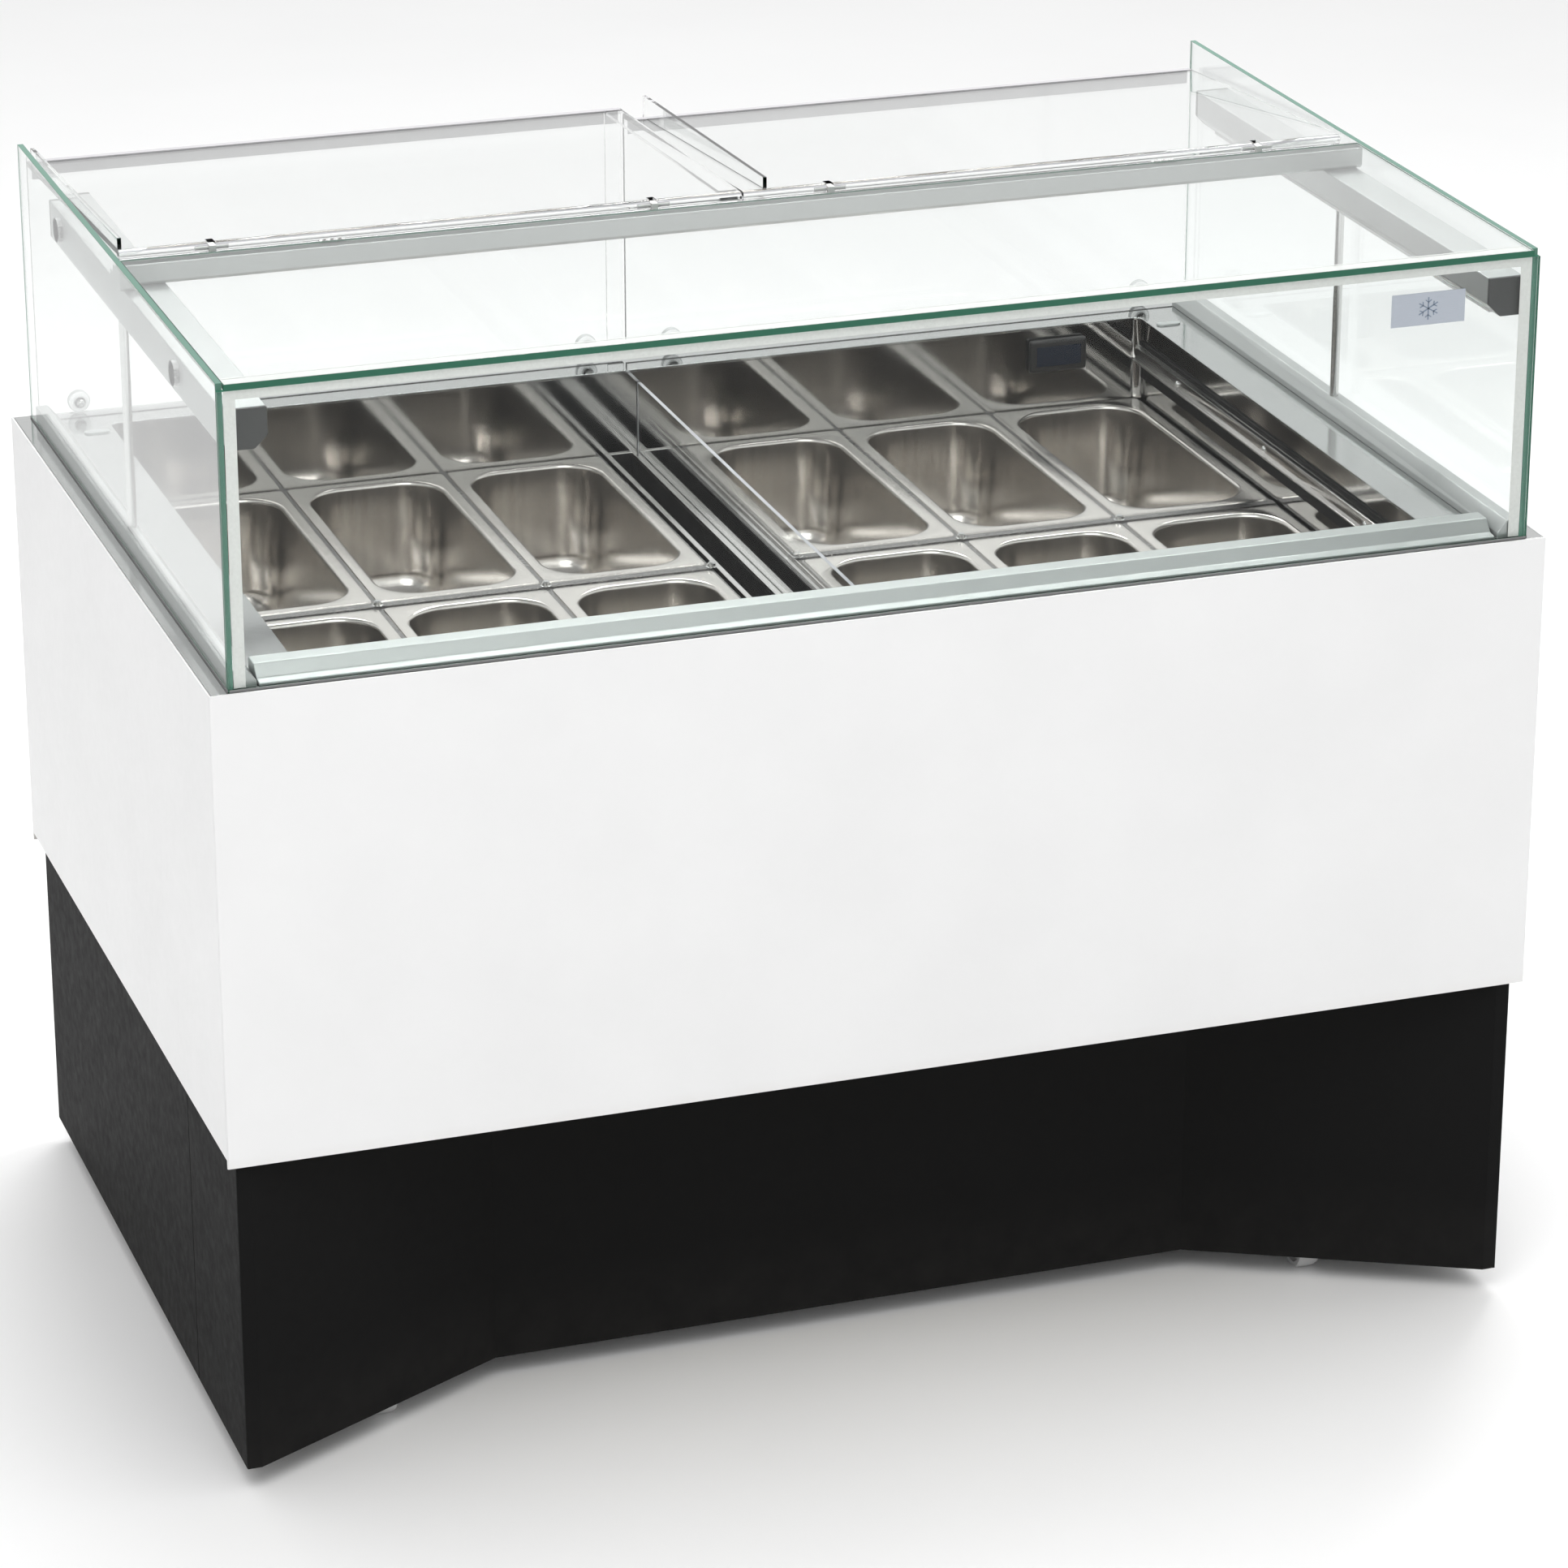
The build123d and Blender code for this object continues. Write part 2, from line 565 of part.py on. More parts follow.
def make_compressor():
    x, y = COMPRESSOR_X, COMPRESSOR_Y
    feet = TRAY_TOP + 18
    top = feet + 175
    shell = rod_z(COMPRESSOR_RADIUS, feet, top, x, y)
    shell = fillet(shell.edges(), 30)
    shell += block(x - 85, x + 85, y - 55, y + 55, feet - 4, feet + 3)
    for dx in (-74, 74):
        for dy in (-44, 44):
            shell += rod_z(11, TRAY_TOP, feet - 3, x + dx, y + dy)
    shell += block(x + 60, x + 92, y - 28, y + 28, feet + 60, feet + 115)
    add("compressor", shell)


def make_condenser():
    """Finned condenser: plates on straight tubes between two end plates."""
    half = CONDENSER_HALF
    z0 = TRAY_TOP
    z1 = TRAY_TOP + 220
    y0 = CONDENSER_Y - 22
    y1 = CONDENSER_Y + 22
    coil = block(CONDENSER_X - half, CONDENSER_X - half + 2, y0, y1, z0, z1)
    coil += block(CONDENSER_X + half - 2, CONDENSER_X + half, y0, y1, z0, z1)
    for row in range(5):
        for y in (CONDENSER_Y - 11, CONDENSER_Y + 11):
            coil += rod_x(5, CONDENSER_X - half - 10, CONDENSER_X + half + 10, y,
                          z0 + 26 + row * 42)
    for fin in range(1, CONDENSER_FINS):
        x = CONDENSER_X - half + fin * 2 * half / CONDENSER_FINS
        coil += block(x - 0.6, x + 0.6, y0 + 2, y1 - 2, z0 + 6, z1 - 4)
    add("condenser", coil)


def make_fan():
    hub = rod_y(20, FAN_Y - 10, FAN_Y + 10, CONDENSER_X, FAN_Z)
    fan = hub + rod_y(FAN_SHAFT_RADIUS, FAN_Y - 45, FAN_Y - 9, CONDENSER_X, FAN_Z)
    blade = block(14, FAN_RADIUS, -26, 26, -1, 1)
    for index in range(FAN_BLADES):
        turn = Rot(0, index * 360 / FAN_BLADES, 0) * Rot(28, 0, 0)
        fan += Pos(CONDENSER_X, FAN_Y, FAN_Z) * turn * blade
    keep = rod_y(FAN_RADIUS, FAN_Y - 16, FAN_Y + 16, CONDENSER_X, FAN_Z)
    keep += rod_y(FAN_SHAFT_RADIUS, FAN_Y - 45, FAN_Y, CONDENSER_X, FAN_Z)
    add("fan_blade", fan & keep)

    motor = rod_y(36, FAN_Y - 90, FAN_Y - 20, CONDENSER_X, FAN_Z)
    motor = fillet(motor.edges(), 6)
    motor -= rod_y(FAN_SHAFT_RADIUS + RUNNING_GAP, FAN_Y - 46, FAN_Y - 10, CONDENSER_X, FAN_Z)
    motor += block(CONDENSER_X - 14, CONDENSER_X + 14, FAN_Y - 75, FAN_Y - 45,
                   TRAY_TOP, FAN_Z - 30)
    motor += block(CONDENSER_X - 45, CONDENSER_X + 45, FAN_Y - 85, FAN_Y - 35,
                   TRAY_TOP, TRAY_TOP + 4)
    add("fan_motor", motor)


def make_evaporator():
    """Finned evaporator under the pans."""
    half = EVAPORATOR_HALF
    z0 = WELL_FLOOR + 22
    z1 = z0 + 110
    coil = block(-half, -half + 2, -80, 80, WELL_FLOOR, z1)
    coil += block(half - 2, half, -80, 80, WELL_FLOOR, z1)
    for row in range(3):
        for y in (-54, -18, 18, 54):
            coil += rod_x(6, -half - 12, half + 12, y, z0 + 18 + row * 36)
    for fin in range(1, EVAPORATOR_FINS):
        x = -half + fin * 2 * half / EVAPORATOR_FINS
        coil += block(x - 0.6, x + 0.6, -78, 78, z0, z1 - 4)
    add("evaporator", coil)


# ---- castors ------------------------------------------------------------------------
def castor_places():
    """Name, pivot and trail direction of each castor."""
    return [("front_left", -CASTOR_X, CASTOR_FRONT_Y, -1),
            ("front_right", CASTOR_X, CASTOR_FRONT_Y, -1),
            ("rear_left", -CASTOR_X, CASTOR_REAR_Y, 1),
            ("rear_right", CASTOR_X, CASTOR_REAR_Y, 1)]


def make_castors():
    plates = []
    pin_radius = 6.0
    for name, x, y, way in castor_places():
        plate = block(x - 38, x + 38, y - 30, y + 30, CASTOR_TOP - 3, CASTOR_TOP)
        plate += rod_z(19, CASTOR_TOP - 9, CASTOR_TOP - 2, x, y)
        plate -= rod_z(pin_radius + RUNNING_GAP, CASTOR_TOP - 10, CASTOR_TOP - 1, x, y)
        plates.append(plate)

        wheel_y = y + way * CASTOR_TRAIL
        crown = CASTOR_TOP - 13
        fork = rod_z(18, crown, crown + 3.6, x, y)
        fork += rod_z(pin_radius, crown, CASTOR_TOP - 1.5, x, y)
        fork += block(x - 16, x + 16, min(y, wheel_y) - 10, max(y, wheel_y) + 10, crown, crown + 3)
        leg = WHEEL_WIDTH / 2 + 1.5
        for side in (-1, 1):
            x0, x1 = sorted((x + side * leg, x + side * (leg + 2.5)))
            fork += prism_x([(y - way * 8, crown + 3), (wheel_y + way * 10, crown + 3),
                             (wheel_y + way * 8, WHEEL_RADIUS - 8),
                             (wheel_y - way * 8, WHEEL_RADIUS - 8)], x0, x1)
        fork -= rod_x(AXLE_RADIUS, x - 20, x + 20, wheel_y, WHEEL_RADIUS)
        axle = rod_x(AXLE_RADIUS, x - leg - 3.5, x + leg + 3.5, wheel_y, WHEEL_RADIUS)
        add(f"castor_fork_{name}", [fork, axle])

        wheel = rod_x(WHEEL_RADIUS, x - WHEEL_WIDTH / 2, x + WHEEL_WIDTH / 2, wheel_y, WHEEL_RADIUS)
        wheel = fillet(wheel.edges(), 3)
        wheel -= rod_x(AXLE_RADIUS + RUNNING_GAP, x - 30, x + 30, wheel_y, WHEEL_RADIUS)
        add(f"castor_wheel_{name}", wheel)
    add("castor_plates", plates)


make_body_panels()
make_insulation_and_liner()
make_worktop()
make_front_kerb()
make_base_rails()
make_plinth()
make_control_panel()
make_pans()
make_pan_rack()
make_divider()
make_canopy_glass()
make_cross_bar()
make_beams()
make_rear_covers()
make_chassis()
make_compressor()
make_condenser()
make_fan()
make_evaporator()
make_castors()

os.makedirs("parts", exist_ok=True)
for name, part in parts.items():
    export_step(part, f"parts/{name}.step")
print(len(parts), "nodes")
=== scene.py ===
"""Looks of the ice cream dipping cabinet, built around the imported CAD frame.

Metres, in the frame of the CAD: +X to the customer's right, -Y the customer side, +Z up.
CAD panels, glass and frames stay and get soft edges and materials. Pans, castors, knobs and
small hardware are modelled here in more detail and stand for their CAD solids.
"""

import math

import bmesh
import bpy
from mathutils import Matrix, Vector


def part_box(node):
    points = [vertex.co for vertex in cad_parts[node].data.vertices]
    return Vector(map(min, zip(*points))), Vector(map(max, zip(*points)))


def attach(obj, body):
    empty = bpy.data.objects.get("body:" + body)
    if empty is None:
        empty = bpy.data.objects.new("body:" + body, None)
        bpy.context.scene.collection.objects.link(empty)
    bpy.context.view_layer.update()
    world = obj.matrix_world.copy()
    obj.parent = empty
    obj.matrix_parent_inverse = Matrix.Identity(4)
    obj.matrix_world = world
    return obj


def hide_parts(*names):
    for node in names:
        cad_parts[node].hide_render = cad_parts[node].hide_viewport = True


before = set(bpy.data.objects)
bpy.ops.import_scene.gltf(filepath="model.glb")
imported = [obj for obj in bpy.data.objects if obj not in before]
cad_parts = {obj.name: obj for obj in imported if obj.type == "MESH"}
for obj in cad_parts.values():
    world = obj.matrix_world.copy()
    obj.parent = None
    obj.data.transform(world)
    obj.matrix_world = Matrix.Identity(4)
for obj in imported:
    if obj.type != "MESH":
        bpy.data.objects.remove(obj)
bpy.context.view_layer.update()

CABINET = "cabinet"
MM = 0.001

HINGE_Y = 0.018                 # axis of the rear covers
COVER_TOP = 1.100               # top of the covers at their hinge
COVER_FALL = {"left": 0.016, "right": 0.027}      # from the hinge to the rear bend
WELL_WALL_X = 0.566             # side walls of the well
AIR_CHANNELS = {"left": (-0.037, -0.013), "right": (0.009, 0.033)}     # in the divider


# ---- small helpers ------------------------------------------------------------------
def span(node):
    """Lowest and highest corner of a CAD node as vectors."""
    low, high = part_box(node)
    return Vector(low), Vector(high)


def middle(node):
    low, high = span(node)
    return (low + high) / 2


def new_piece(name, mesh, material, body=CABINET, smooth=35.0):
    """Object from mesh data, with a material, that rides on a body."""
    piece = bpy.data.objects.new(name, mesh)
    bpy.context.scene.collection.objects.link(piece)
    if material is not None and not mesh.materials:
        mesh.materials.append(material)
    if smooth is not None:
        for polygon in mesh.polygons:
            polygon.use_smooth = True
        mesh.set_sharp_from_angle(angle=math.radians(smooth))
    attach(piece, body)
    return piece


def mesh_from(name, build):
    """Mesh data from a function that fills a bmesh."""
    bm = bmesh.new()
    build(bm)
    bmesh.ops.recalc_face_normals(bm, faces=bm.faces)
    mesh = bpy.data.meshes.new(name)
    bm.to_mesh(mesh)
    bm.free()
    return mesh


def bevel_mesh(bm, width, segments=3, angle=30.0):
    """Rounds the sharp edges of a bmesh."""
    limit = math.radians(angle)
    edges = [e for e in bm.edges if e.is_manifold and e.calc_face_angle(0) > limit]
    if edges:
        bmesh.ops.bevel(bm, geom=edges, offset=width, segments=segments, profile=0.5,
                        affect="EDGES", clamp_overlap=True)


def add_box(bm, low, high):
    """Box between two corners."""
    low, high = Vector(low), Vector(high)
    size = high - low
    place = Matrix.Translation((low + high) / 2) @ Matrix.Diagonal((*size, 1))
    return bmesh.ops.create_cube(bm, size=1.0, matrix=place)["verts"]


def add_rod(bm, radius, start, end, sides=32):
    """Capped cylinder from start to end."""
    start, end = Vector(start), Vector(end)
    axis = end - start
    turn = axis.to_track_quat("Z", "Y").to_matrix().to_4x4()
    place = Matrix.Translation((start + end) / 2) @ turn
    bmesh.ops.create_cone(bm, cap_ends=True, segments=sides, radius1=radius, radius2=radius,
                          depth=axis.length, matrix=place)


def add_lathe(bm, profile, place, sides=48):
    """Turns (radius, height) points about the local Z axis of place."""
    rings = []
    for radius, height in profile:
        if radius < 1e-6:
            rings.append([bm.verts.new(place @ Vector((0, 0, height)))])
            continue
        ring = []
        for step in range(sides):
            angle = 2 * math.pi * step / sides
            point = Vector((radius * math.cos(angle), radius * math.sin(angle), height))
            ring.append(bm.verts.new(place @ point))
        rings.append(ring)
    for lower, upper in zip(rings, rings[1:]):
        for step in range(sides):
            nxt = (step + 1) % sides
            if len(lower) == 1:
                bm.faces.new((lower[0], upper[step], upper[nxt]))
            elif len(upper) == 1:
                bm.faces.new((lower[step], lower[nxt], upper[0]))
            else:
                bm.faces.new((lower[step], lower[nxt], upper[nxt], upper[step]))


def facing(origin, direction):
    """Matrix whose Z axis points along direction, at origin."""
    turn = Vector(direction).to_track_quat("Z", "Y").to_matrix().to_4x4()
    return Matrix.Translation(Vector(origin)) @ turn


# ---- materials ----------------------------------------------------------------------
class Nodes:
    """Short way to write a node material."""

    def __init__(self, name):
        self.material = bpy.data.materials.new(name)
        self.material.use_nodes = True
        self.tree = self.material.node_tree
        self.tree.nodes.clear()
        self.out = self.tree.nodes.new("ShaderNodeOutputMaterial")
        self.bsdf = self.tree.nodes.new("ShaderNodeBsdfPrincipled")
        self.link(self.bsdf.outputs[0], self.out.inputs["Surface"])

    def link(self, source, target):
        self.tree.links.new(source, target)

    def node(self, kind, **inputs):
        made = self.tree.nodes.new(kind)
        for key, value in inputs.items():
            socket = made.inputs[key.replace("_", " ")]
            if isinstance(value, bpy.types.NodeSocket):
                self.link(value, socket)
            else:
                socket.default_value = value
        return made

    def place(self, scale=(1, 1, 1)):
        """Object coordinates, stretched."""
        coords = self.tree.nodes.new("ShaderNodeTexCoord")
        mapping = self.tree.nodes.new("ShaderNodeMapping")
        mapping.inputs["Scale"].default_value = scale
        self.link(coords.outputs["Object"], mapping.inputs["Vector"])
        return mapping.outputs["Vector"]

    def noise(self, scale, detail=4.0, rough=0.5, stretch=(1, 1, 1)):
        made = self.node("ShaderNodeTexNoise", Vector=self.place(stretch), Scale=scale,
                         Detail=detail, Roughness=rough)
        return made.outputs["Fac"]

    def remap(self, value, low, high, start=0.3, stop=0.7):
        made = self.node("ShaderNodeMapRange", Value=value)
        made.inputs["From Min"].default_value = start
        made.inputs["From Max"].default_value = stop
        made.inputs["To Min"].default_value = low
        made.inputs["To Max"].default_value = high
        return made.outputs["Result"]

    def blend(self, factor, first, second):
        made = self.tree.nodes.new("ShaderNodeMix")
        made.data_type = "RGBA"
        for socket, value in zip((made.inputs[0], made.inputs[6], made.inputs[7]),
                                 (factor, first, second)):
            if isinstance(value, bpy.types.NodeSocket):
                self.link(value, socket)
            elif socket is made.inputs[0]:
                socket.default_value = value
            else:
                socket.default_value = (*value, 1)
        return made.outputs[2]

    def bump(self, height, strength, distance=0.0004, under=None):
        made = self.node("ShaderNodeBump", Height=height, Strength=strength, Distance=distance)
        if under is not None:
            self.link(under, made.inputs["Normal"])
        return made.outputs["Normal"]

    def axis(self, letter):
        """One object coordinate."""
        coords = self.tree.nodes.new("ShaderNodeTexCoord")
        split = self.node("ShaderNodeSeparateXYZ", Vector=coords.outputs["Object"])
        return split.outputs[letter]

    def feed(self, **sockets):
        for key, value in sockets.items():
            socket = self.bsdf.inputs[key.replace("_", " ")]
            if isinstance(value, bpy.types.NodeSocket):
                self.link(value, socket)
            elif isinstance(value, tuple) and len(value) == 3 and len(socket.default_value) == 4:
                socket.default_value = (*value, 1)
            else:
                socket.default_value = value


def grey(value, warm=0.0):
    """Neutral colour, a little warm or cool."""
    return (value * (1 + warm), value, value * (1 - warm))


def powder_coat(name, colour, soil, roughness, foot, reach, peel=0.06, gloss=0.4):
    """Painted sheet: orange peel, faint mottling, and soil that fades upwards from foot."""
    n = Nodes(name)
    mottle = n.remap(n.noise(7.0, 5.0), 0.0, 1.0)
    tint = n.blend(mottle, colour, tuple(c * 0.965 for c in colour))
    fade = n.remap(n.axis("Z"), 1.0, 0.0, foot, foot + reach)
    patch = n.node("ShaderNodeMath")
    patch.operation = "MULTIPLY"
    n.link(fade, patch.inputs[0])
    n.link(n.remap(n.noise(26.0, 6.0, 0.65), 0.1, 0.6), patch.inputs[1])
    n.feed(Base_Color=n.blend(patch.outputs[0], tint, soil),
           Roughness=n.remap(n.noise(90.0, 3.0), roughness - 0.04, roughness + 0.06),
           IOR=1.45, Specular_IOR_Level=gloss,
           Normal=n.bump(n.noise(1400.0, 2.0), peel, 0.0002))
    return n.material


def metal(name, colour, roughness, grain, grain_scale=900.0, depth=0.08, anisotropy=0.0,
          cloud=0.05):
    """Brushed or satin metal: grain is the stretch of the brush lines in x, y and z."""
    n = Nodes(name)
    lines = n.noise(grain_scale, 3.0, 0.6, grain)
    smudge = n.noise(9.0, 4.0, 0.6)
    dark = tuple(c * 0.95 for c in colour)
    tint = n.blend(n.remap(lines, 0.0, 1.0, 0.35, 0.65), dark, colour)
    tint = n.blend(n.remap(smudge, 0.0, 0.35), tint, tuple(c * 0.9 for c in colour))
    base = n.remap(lines, roughness - 0.01, roughness + 0.02, 0.3, 0.7)
    wave = n.node("ShaderNodeMath")
    wave.operation = "ADD"
    n.link(base, wave.inputs[0])
    n.link(n.remap(smudge, -cloud / 2, cloud), wave.inputs[1])
    n.feed(Base_Color=tint, Metallic=1.0, Roughness=wave.outputs[0], Anisotropic=anisotropy)
    if depth:
        n.feed(Normal=n.bump(lines, depth, 0.00015))
    return n.material


def plastic(name, colour, roughness, pebble=0.04, coat=0.0, scale=1600.0, gloss=0.5):
    """Moulded plastic or rubber with a fine pebble."""
    n = Nodes(name)
    mottle = n.remap(n.noise(14.0, 4.0), 0.0, 1.0)
    n.feed(Base_Color=n.blend(mottle, colour, tuple(c * 0.88 + 0.004 for c in colour)),
           Roughness=n.remap(n.noise(60.0), roughness - 0.05, roughness + 0.07),
           Coat_Weight=coat, Specular_IOR_Level=gloss,
           Normal=n.bump(n.noise(scale, 2.0), pebble, 0.0002))
    return n.material


def clear(name, face, edge, ior, edge_axes, roughness=0.0, shade=0.93, gloss=0.16):
    """Clear sheet whose cut edges are tinted: faces across edge_axes keep the face colour."""
    n = Nodes(name)
    coords = n.tree.nodes.new("ShaderNodeTexCoord")
    split = n.node("ShaderNodeSeparateXYZ", Vector=coords.outputs["Normal"])
    flat = None
    for letter in edge_axes:
        size = n.node("ShaderNodeMath")
        size.operation = "ABSOLUTE"
        n.link(split.outputs[letter], size.inputs[0])
        if flat is None:
            flat = size.outputs[0]
        else:
            most = n.node("ShaderNodeMath")
            most.operation = "MAXIMUM"
            n.link(flat, most.inputs[0])
            n.link(size.outputs[0], most.inputs[1])
            flat = most.outputs[0]
    is_face = n.remap(flat, 0.0, 1.0, 0.75, 0.9)
    smears = n.remap(n.noise(5.0, 5.0, 0.6), 0.985, 1.0)
    film = n.blend(smears, tuple(c * 0.97 for c in face), face)
    n.feed(Base_Color=n.blend(is_face, edge, film), Roughness=roughness, IOR=ior,
           Transmission_Weight=n.remap(is_face, 0.2, 1.0, 0.0, 1.0), Specular_IOR_Level=gloss,
           Normal=n.bump(n.noise(3.0, 2.0), 0.01, 0.0002))
    path = n.tree.nodes.new("ShaderNodeLightPath")
    through = n.node("ShaderNodeBsdfTransparent", Color=(shade, shade, shade, 1))
    mix = n.node("ShaderNodeMixShader")
    n.link(path.outputs["Is Shadow Ray"], mix.inputs[0])
    n.link(n.bsdf.outputs[0], mix.inputs[1])
    n.link(through.outputs[0], mix.inputs[2])
    n.link(mix.outputs[0], n.out.inputs["Surface"])
    return n.material


def lamp_lens(name):
    """Milky lens with small cells."""
    n = Nodes(name)
    cells = n.node("ShaderNodeTexVoronoi", Vector=n.place(), Scale=120.0).outputs["Distance"]
    n.feed(Base_Color=n.blend(n.remap(cells, 0.0, 1.0), grey(0.86), grey(0.78)), Roughness=0.35,
           Subsurface_Weight=0.1, Normal=n.bump(cells, 0.2, 0.0003))
    return n.material


def floor_paint():
    """Pale matt floor."""
    n = Nodes("floor_paint")
    n.feed(Base_Color=n.blend(n.remap(n.noise(2.0), 0.0, 1.0), grey(0.93), grey(0.95)),
           Roughness=0.6)
    return n.material


def border_print():
    """Pale print on the inside of the glass edges."""
    n = Nodes("border_print")
    n.feed(Base_Color=n.blend(n.remap(n.noise(300.0), 0.0, 1.0), (0.66, 0.66, 0.64),
                              (0.72, 0.72, 0.70)), Roughness=0.3)
    return n.material


body_foot = span("front_panel")[0].z
WHITE = powder_coat("white_paint", grey(0.785), grey(0.70, 0.02), 0.34, body_foot, 0.012)
BLACK = powder_coat("black_paint", grey(0.009), grey(0.020, 0.05), 0.55, 0.02, 0.10, 0.06, 0.04)
FRAME_PAINT = powder_coat("frame_paint", grey(0.04), grey(0.1, 0.05), 0.5, 0.0, 0.08)
WORKTOP = metal("worktop_stainless", (0.54, 0.55, 0.545), 0.09, (0.05, 1, 1), 500, 0.0)
STEEL = metal("polished_stainless", (0.50, 0.495, 0.485), 0.06, (0.05, 0.05, 2), 500, 0.0)
# Painted shade: the pan rack's steel is darkened so the gaps between the pans read as shadowed
# lines.
RACK_STEEL_PAINTED_SHADE = metal("rack_stainless_painted_shade", (0.26, 0.255, 0.25), 0.24, (0.05, 1, 1), 900, 0.03)
RIDGE_STEEL = metal("divider_stainless", (0.72, 0.705, 0.69), 0.16, (1, 0.03, 1), 700, 0.03)
PAN_STEEL = metal("pan_steel", (0.74, 0.71, 0.675), 0.20, (1, 1, 0.04), 110, 0.0, 0.5, 0.02)
BRIGHT = metal("bright_steel", (0.72, 0.72, 0.71), 0.16, (1, 1, 6), 900, 0.03)
SATIN_BRIGHT = metal("satin_bright", (0.90, 0.90, 0.89), 0.5, (1, 1, 1), 900, 0.0)
ALUMINIUM = metal("anodised_aluminium", (0.46, 0.485, 0.475), 0.42, (0.05, 1, 1), 1500, 0.05)
BEAM_METAL = metal("beam_aluminium", (0.49, 0.505, 0.50), 0.42, (1, 0.05, 1), 1500, 0.05)
FINS = metal("fin_aluminium", (0.62, 0.63, 0.64), 0.35, (1, 6, 1), 600, 0.06)
GREY_PLASTIC = plastic("grey_plastic", grey(0.055), 0.42)
BLACK_PLASTIC = plastic("black_plastic", grey(0.016), 0.4)
# Painted shade: matt black for sheets that stand for the dark depths of the air channels and wall
# slots, and for a shadow line on the well walls.
PAINTED_SHADE_BLACK = plastic("painted_shade_black", grey(0.006), 0.6, 0.3, gloss=0.08)
ENAMEL = plastic("compressor_enamel", grey(0.02), 0.25, 0.03, 0.3)
FOAM = plastic("foam", (0.62, 0.55, 0.36), 0.85, 0.6, scale=500.0)
SEAL_GREY = plastic("seal_grey", grey(0.22), 0.5)
WHEEL_GREY = plastic("wheel_rubber", grey(0.42), 0.55)
LENS = lamp_lens("led_lens")
BORDER = border_print()
TRIM = plastic("cover_trim", (0.50, 0.49, 0.51), 0.35)
DIGIT_GLOW = plastic("digit_glow", (0.75, 0.10, 0.05), 0.4)
KEY_GREY = plastic("key_grey", grey(0.30), 0.45)
WINDOW = plastic("display_window", (0.01, 0.016, 0.03), 0.20, 0.0)
TRIM_SHADOW = plastic("trim_shadow", grey(0.13), 0.5)
LABEL = metal("label_silver", (0.50, 0.54, 0.60), 0.32, (0.05, 1, 1), 1800, 0.03)
LABEL_INK = plastic("label_ink", (0.20, 0.25, 0.32), 0.45)
GREEN_EDGE = (0.040, 0.150, 0.098)
FACE_TINT = (0.945, 0.965, 0.958)
FRONT_GLASS = clear("front_glass_clear", FACE_TINT, GREEN_EDGE, 1.22, "Y")
SIDE_GLASS = clear("side_glass_clear", FACE_TINT, (0.13, 0.27, 0.21), 1.35, "X")
TOP_GLASS = clear("top_glass_clear", FACE_TINT, GREEN_EDGE, 1.35, "Z")
ACRYLIC_TINT = (0.975, 0.985, 0.98)
ACRYLIC = clear("clear_acrylic", ACRYLIC_TINT, (0.42, 0.42, 0.44), 1.49, "XYZ")
PLATE_ACRYLIC = clear("plate_acrylic", ACRYLIC_TINT, (0.50, 0.51, 0.53), 1.49, "X")
KNOB_ACRYLIC = clear("knob_acrylic", (0.80, 0.81, 0.81), (0.50, 0.51, 0.51), 1.49, "Y", 0.04,
                     0.8, 0.6)


# ---- CAD nodes that stay ------------------------------------------------------------
def soften(node, width, segments=2, angle=30.0):
    """Joins the split vertices of a CAD node's mesh and rounds its sharp edges."""
    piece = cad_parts[node]
    weld = piece.modifiers.new("weld", "WELD")
    weld.merge_threshold = 1e-5
    bevel = piece.modifiers.new("round", "BEVEL")
    bevel.width = width
    bevel.segments = segments
    bevel.limit_method = "ANGLE"
    bevel.angle_limit = math.radians(angle)
    bevel.harden_normals = True


def paint(material, *nodes):
    """Gives CAD nodes a material."""
    for node in nodes:
        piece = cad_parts[node]
        if piece.material_slots:
            for slot in piece.material_slots:
                slot.material = material
        else:
            piece.data.materials.append(material)


def finish_cad_nodes():
    """Materials and soft edges of the CAD nodes that stay."""
    paint(WHITE, "front_panel", "side_panels", "rear_panel")
    paint(WORKTOP, "worktop")
    paint(BLACK, "plinth_front", "plinth_rear_grille", "plinth_side_left", "plinth_side_right")
    paint(FRAME_PAINT, "chassis_frame")
    paint(STEEL, "inner_liner")
    paint(RACK_STEEL_PAINTED_SHADE, "pan_rack")
    paint(RIDGE_STEEL, "centre_divider")
    paint(ALUMINIUM, "front_kerb", "cross_bar")
    paint(BEAM_METAL, "glass_base_rails", "canopy_beams")
    paint(SATIN_BRIGHT, "cover_hinges")
    paint(BRIGHT, "canopy_posts", "castor_plates")
    paint(FRONT_GLASS, "front_glass")
    paint(SIDE_GLASS, "side_glass_left", "side_glass_right")
    paint(TOP_GLASS, "top_glass")
    paint(ACRYLIC, "left_cover", "right_cover")
    paint(PLATE_ACRYLIC, "divider_plate")
    paint(GREY_PLASTIC, "beam_end_caps")
    paint(LENS, "led_strips")
    paint(FOAM, "foam_insulation")
    paint(BLACK_PLASTIC, "control_panel", "cable_gland", "power_switch", "fan_blade")
    paint(ENAMEL, "compressor", "fan_motor")
    paint(FINS, "condenser", "evaporator")
    for node, width in (("front_panel", 0.8), ("side_panels", 0.6), ("rear_panel", 0.6),
                        ("worktop", 0.8), ("plinth_front", 0.5), ("front_kerb", 1.2),
                        ("glass_base_rails", 1.0), ("cross_bar", 1.0), ("canopy_beams", 1.2),
                        ("beam_end_caps", 1.0), ("front_glass", 0.6), ("side_glass_left", 0.6),
                        ("side_glass_right", 0.6), ("top_glass", 0.6), ("divider_plate", 0.4),
                        ("centre_divider", 0.6), ("led_strips", 0.6), ("control_panel", 0.6),
                        ("power_switch", 0.5), ("chassis_frame", 0.8)):
        soften(node, width * MM)


# ---- pans ---------------------------------------------------------------------------
PAN_CORNER_STEPS = 10


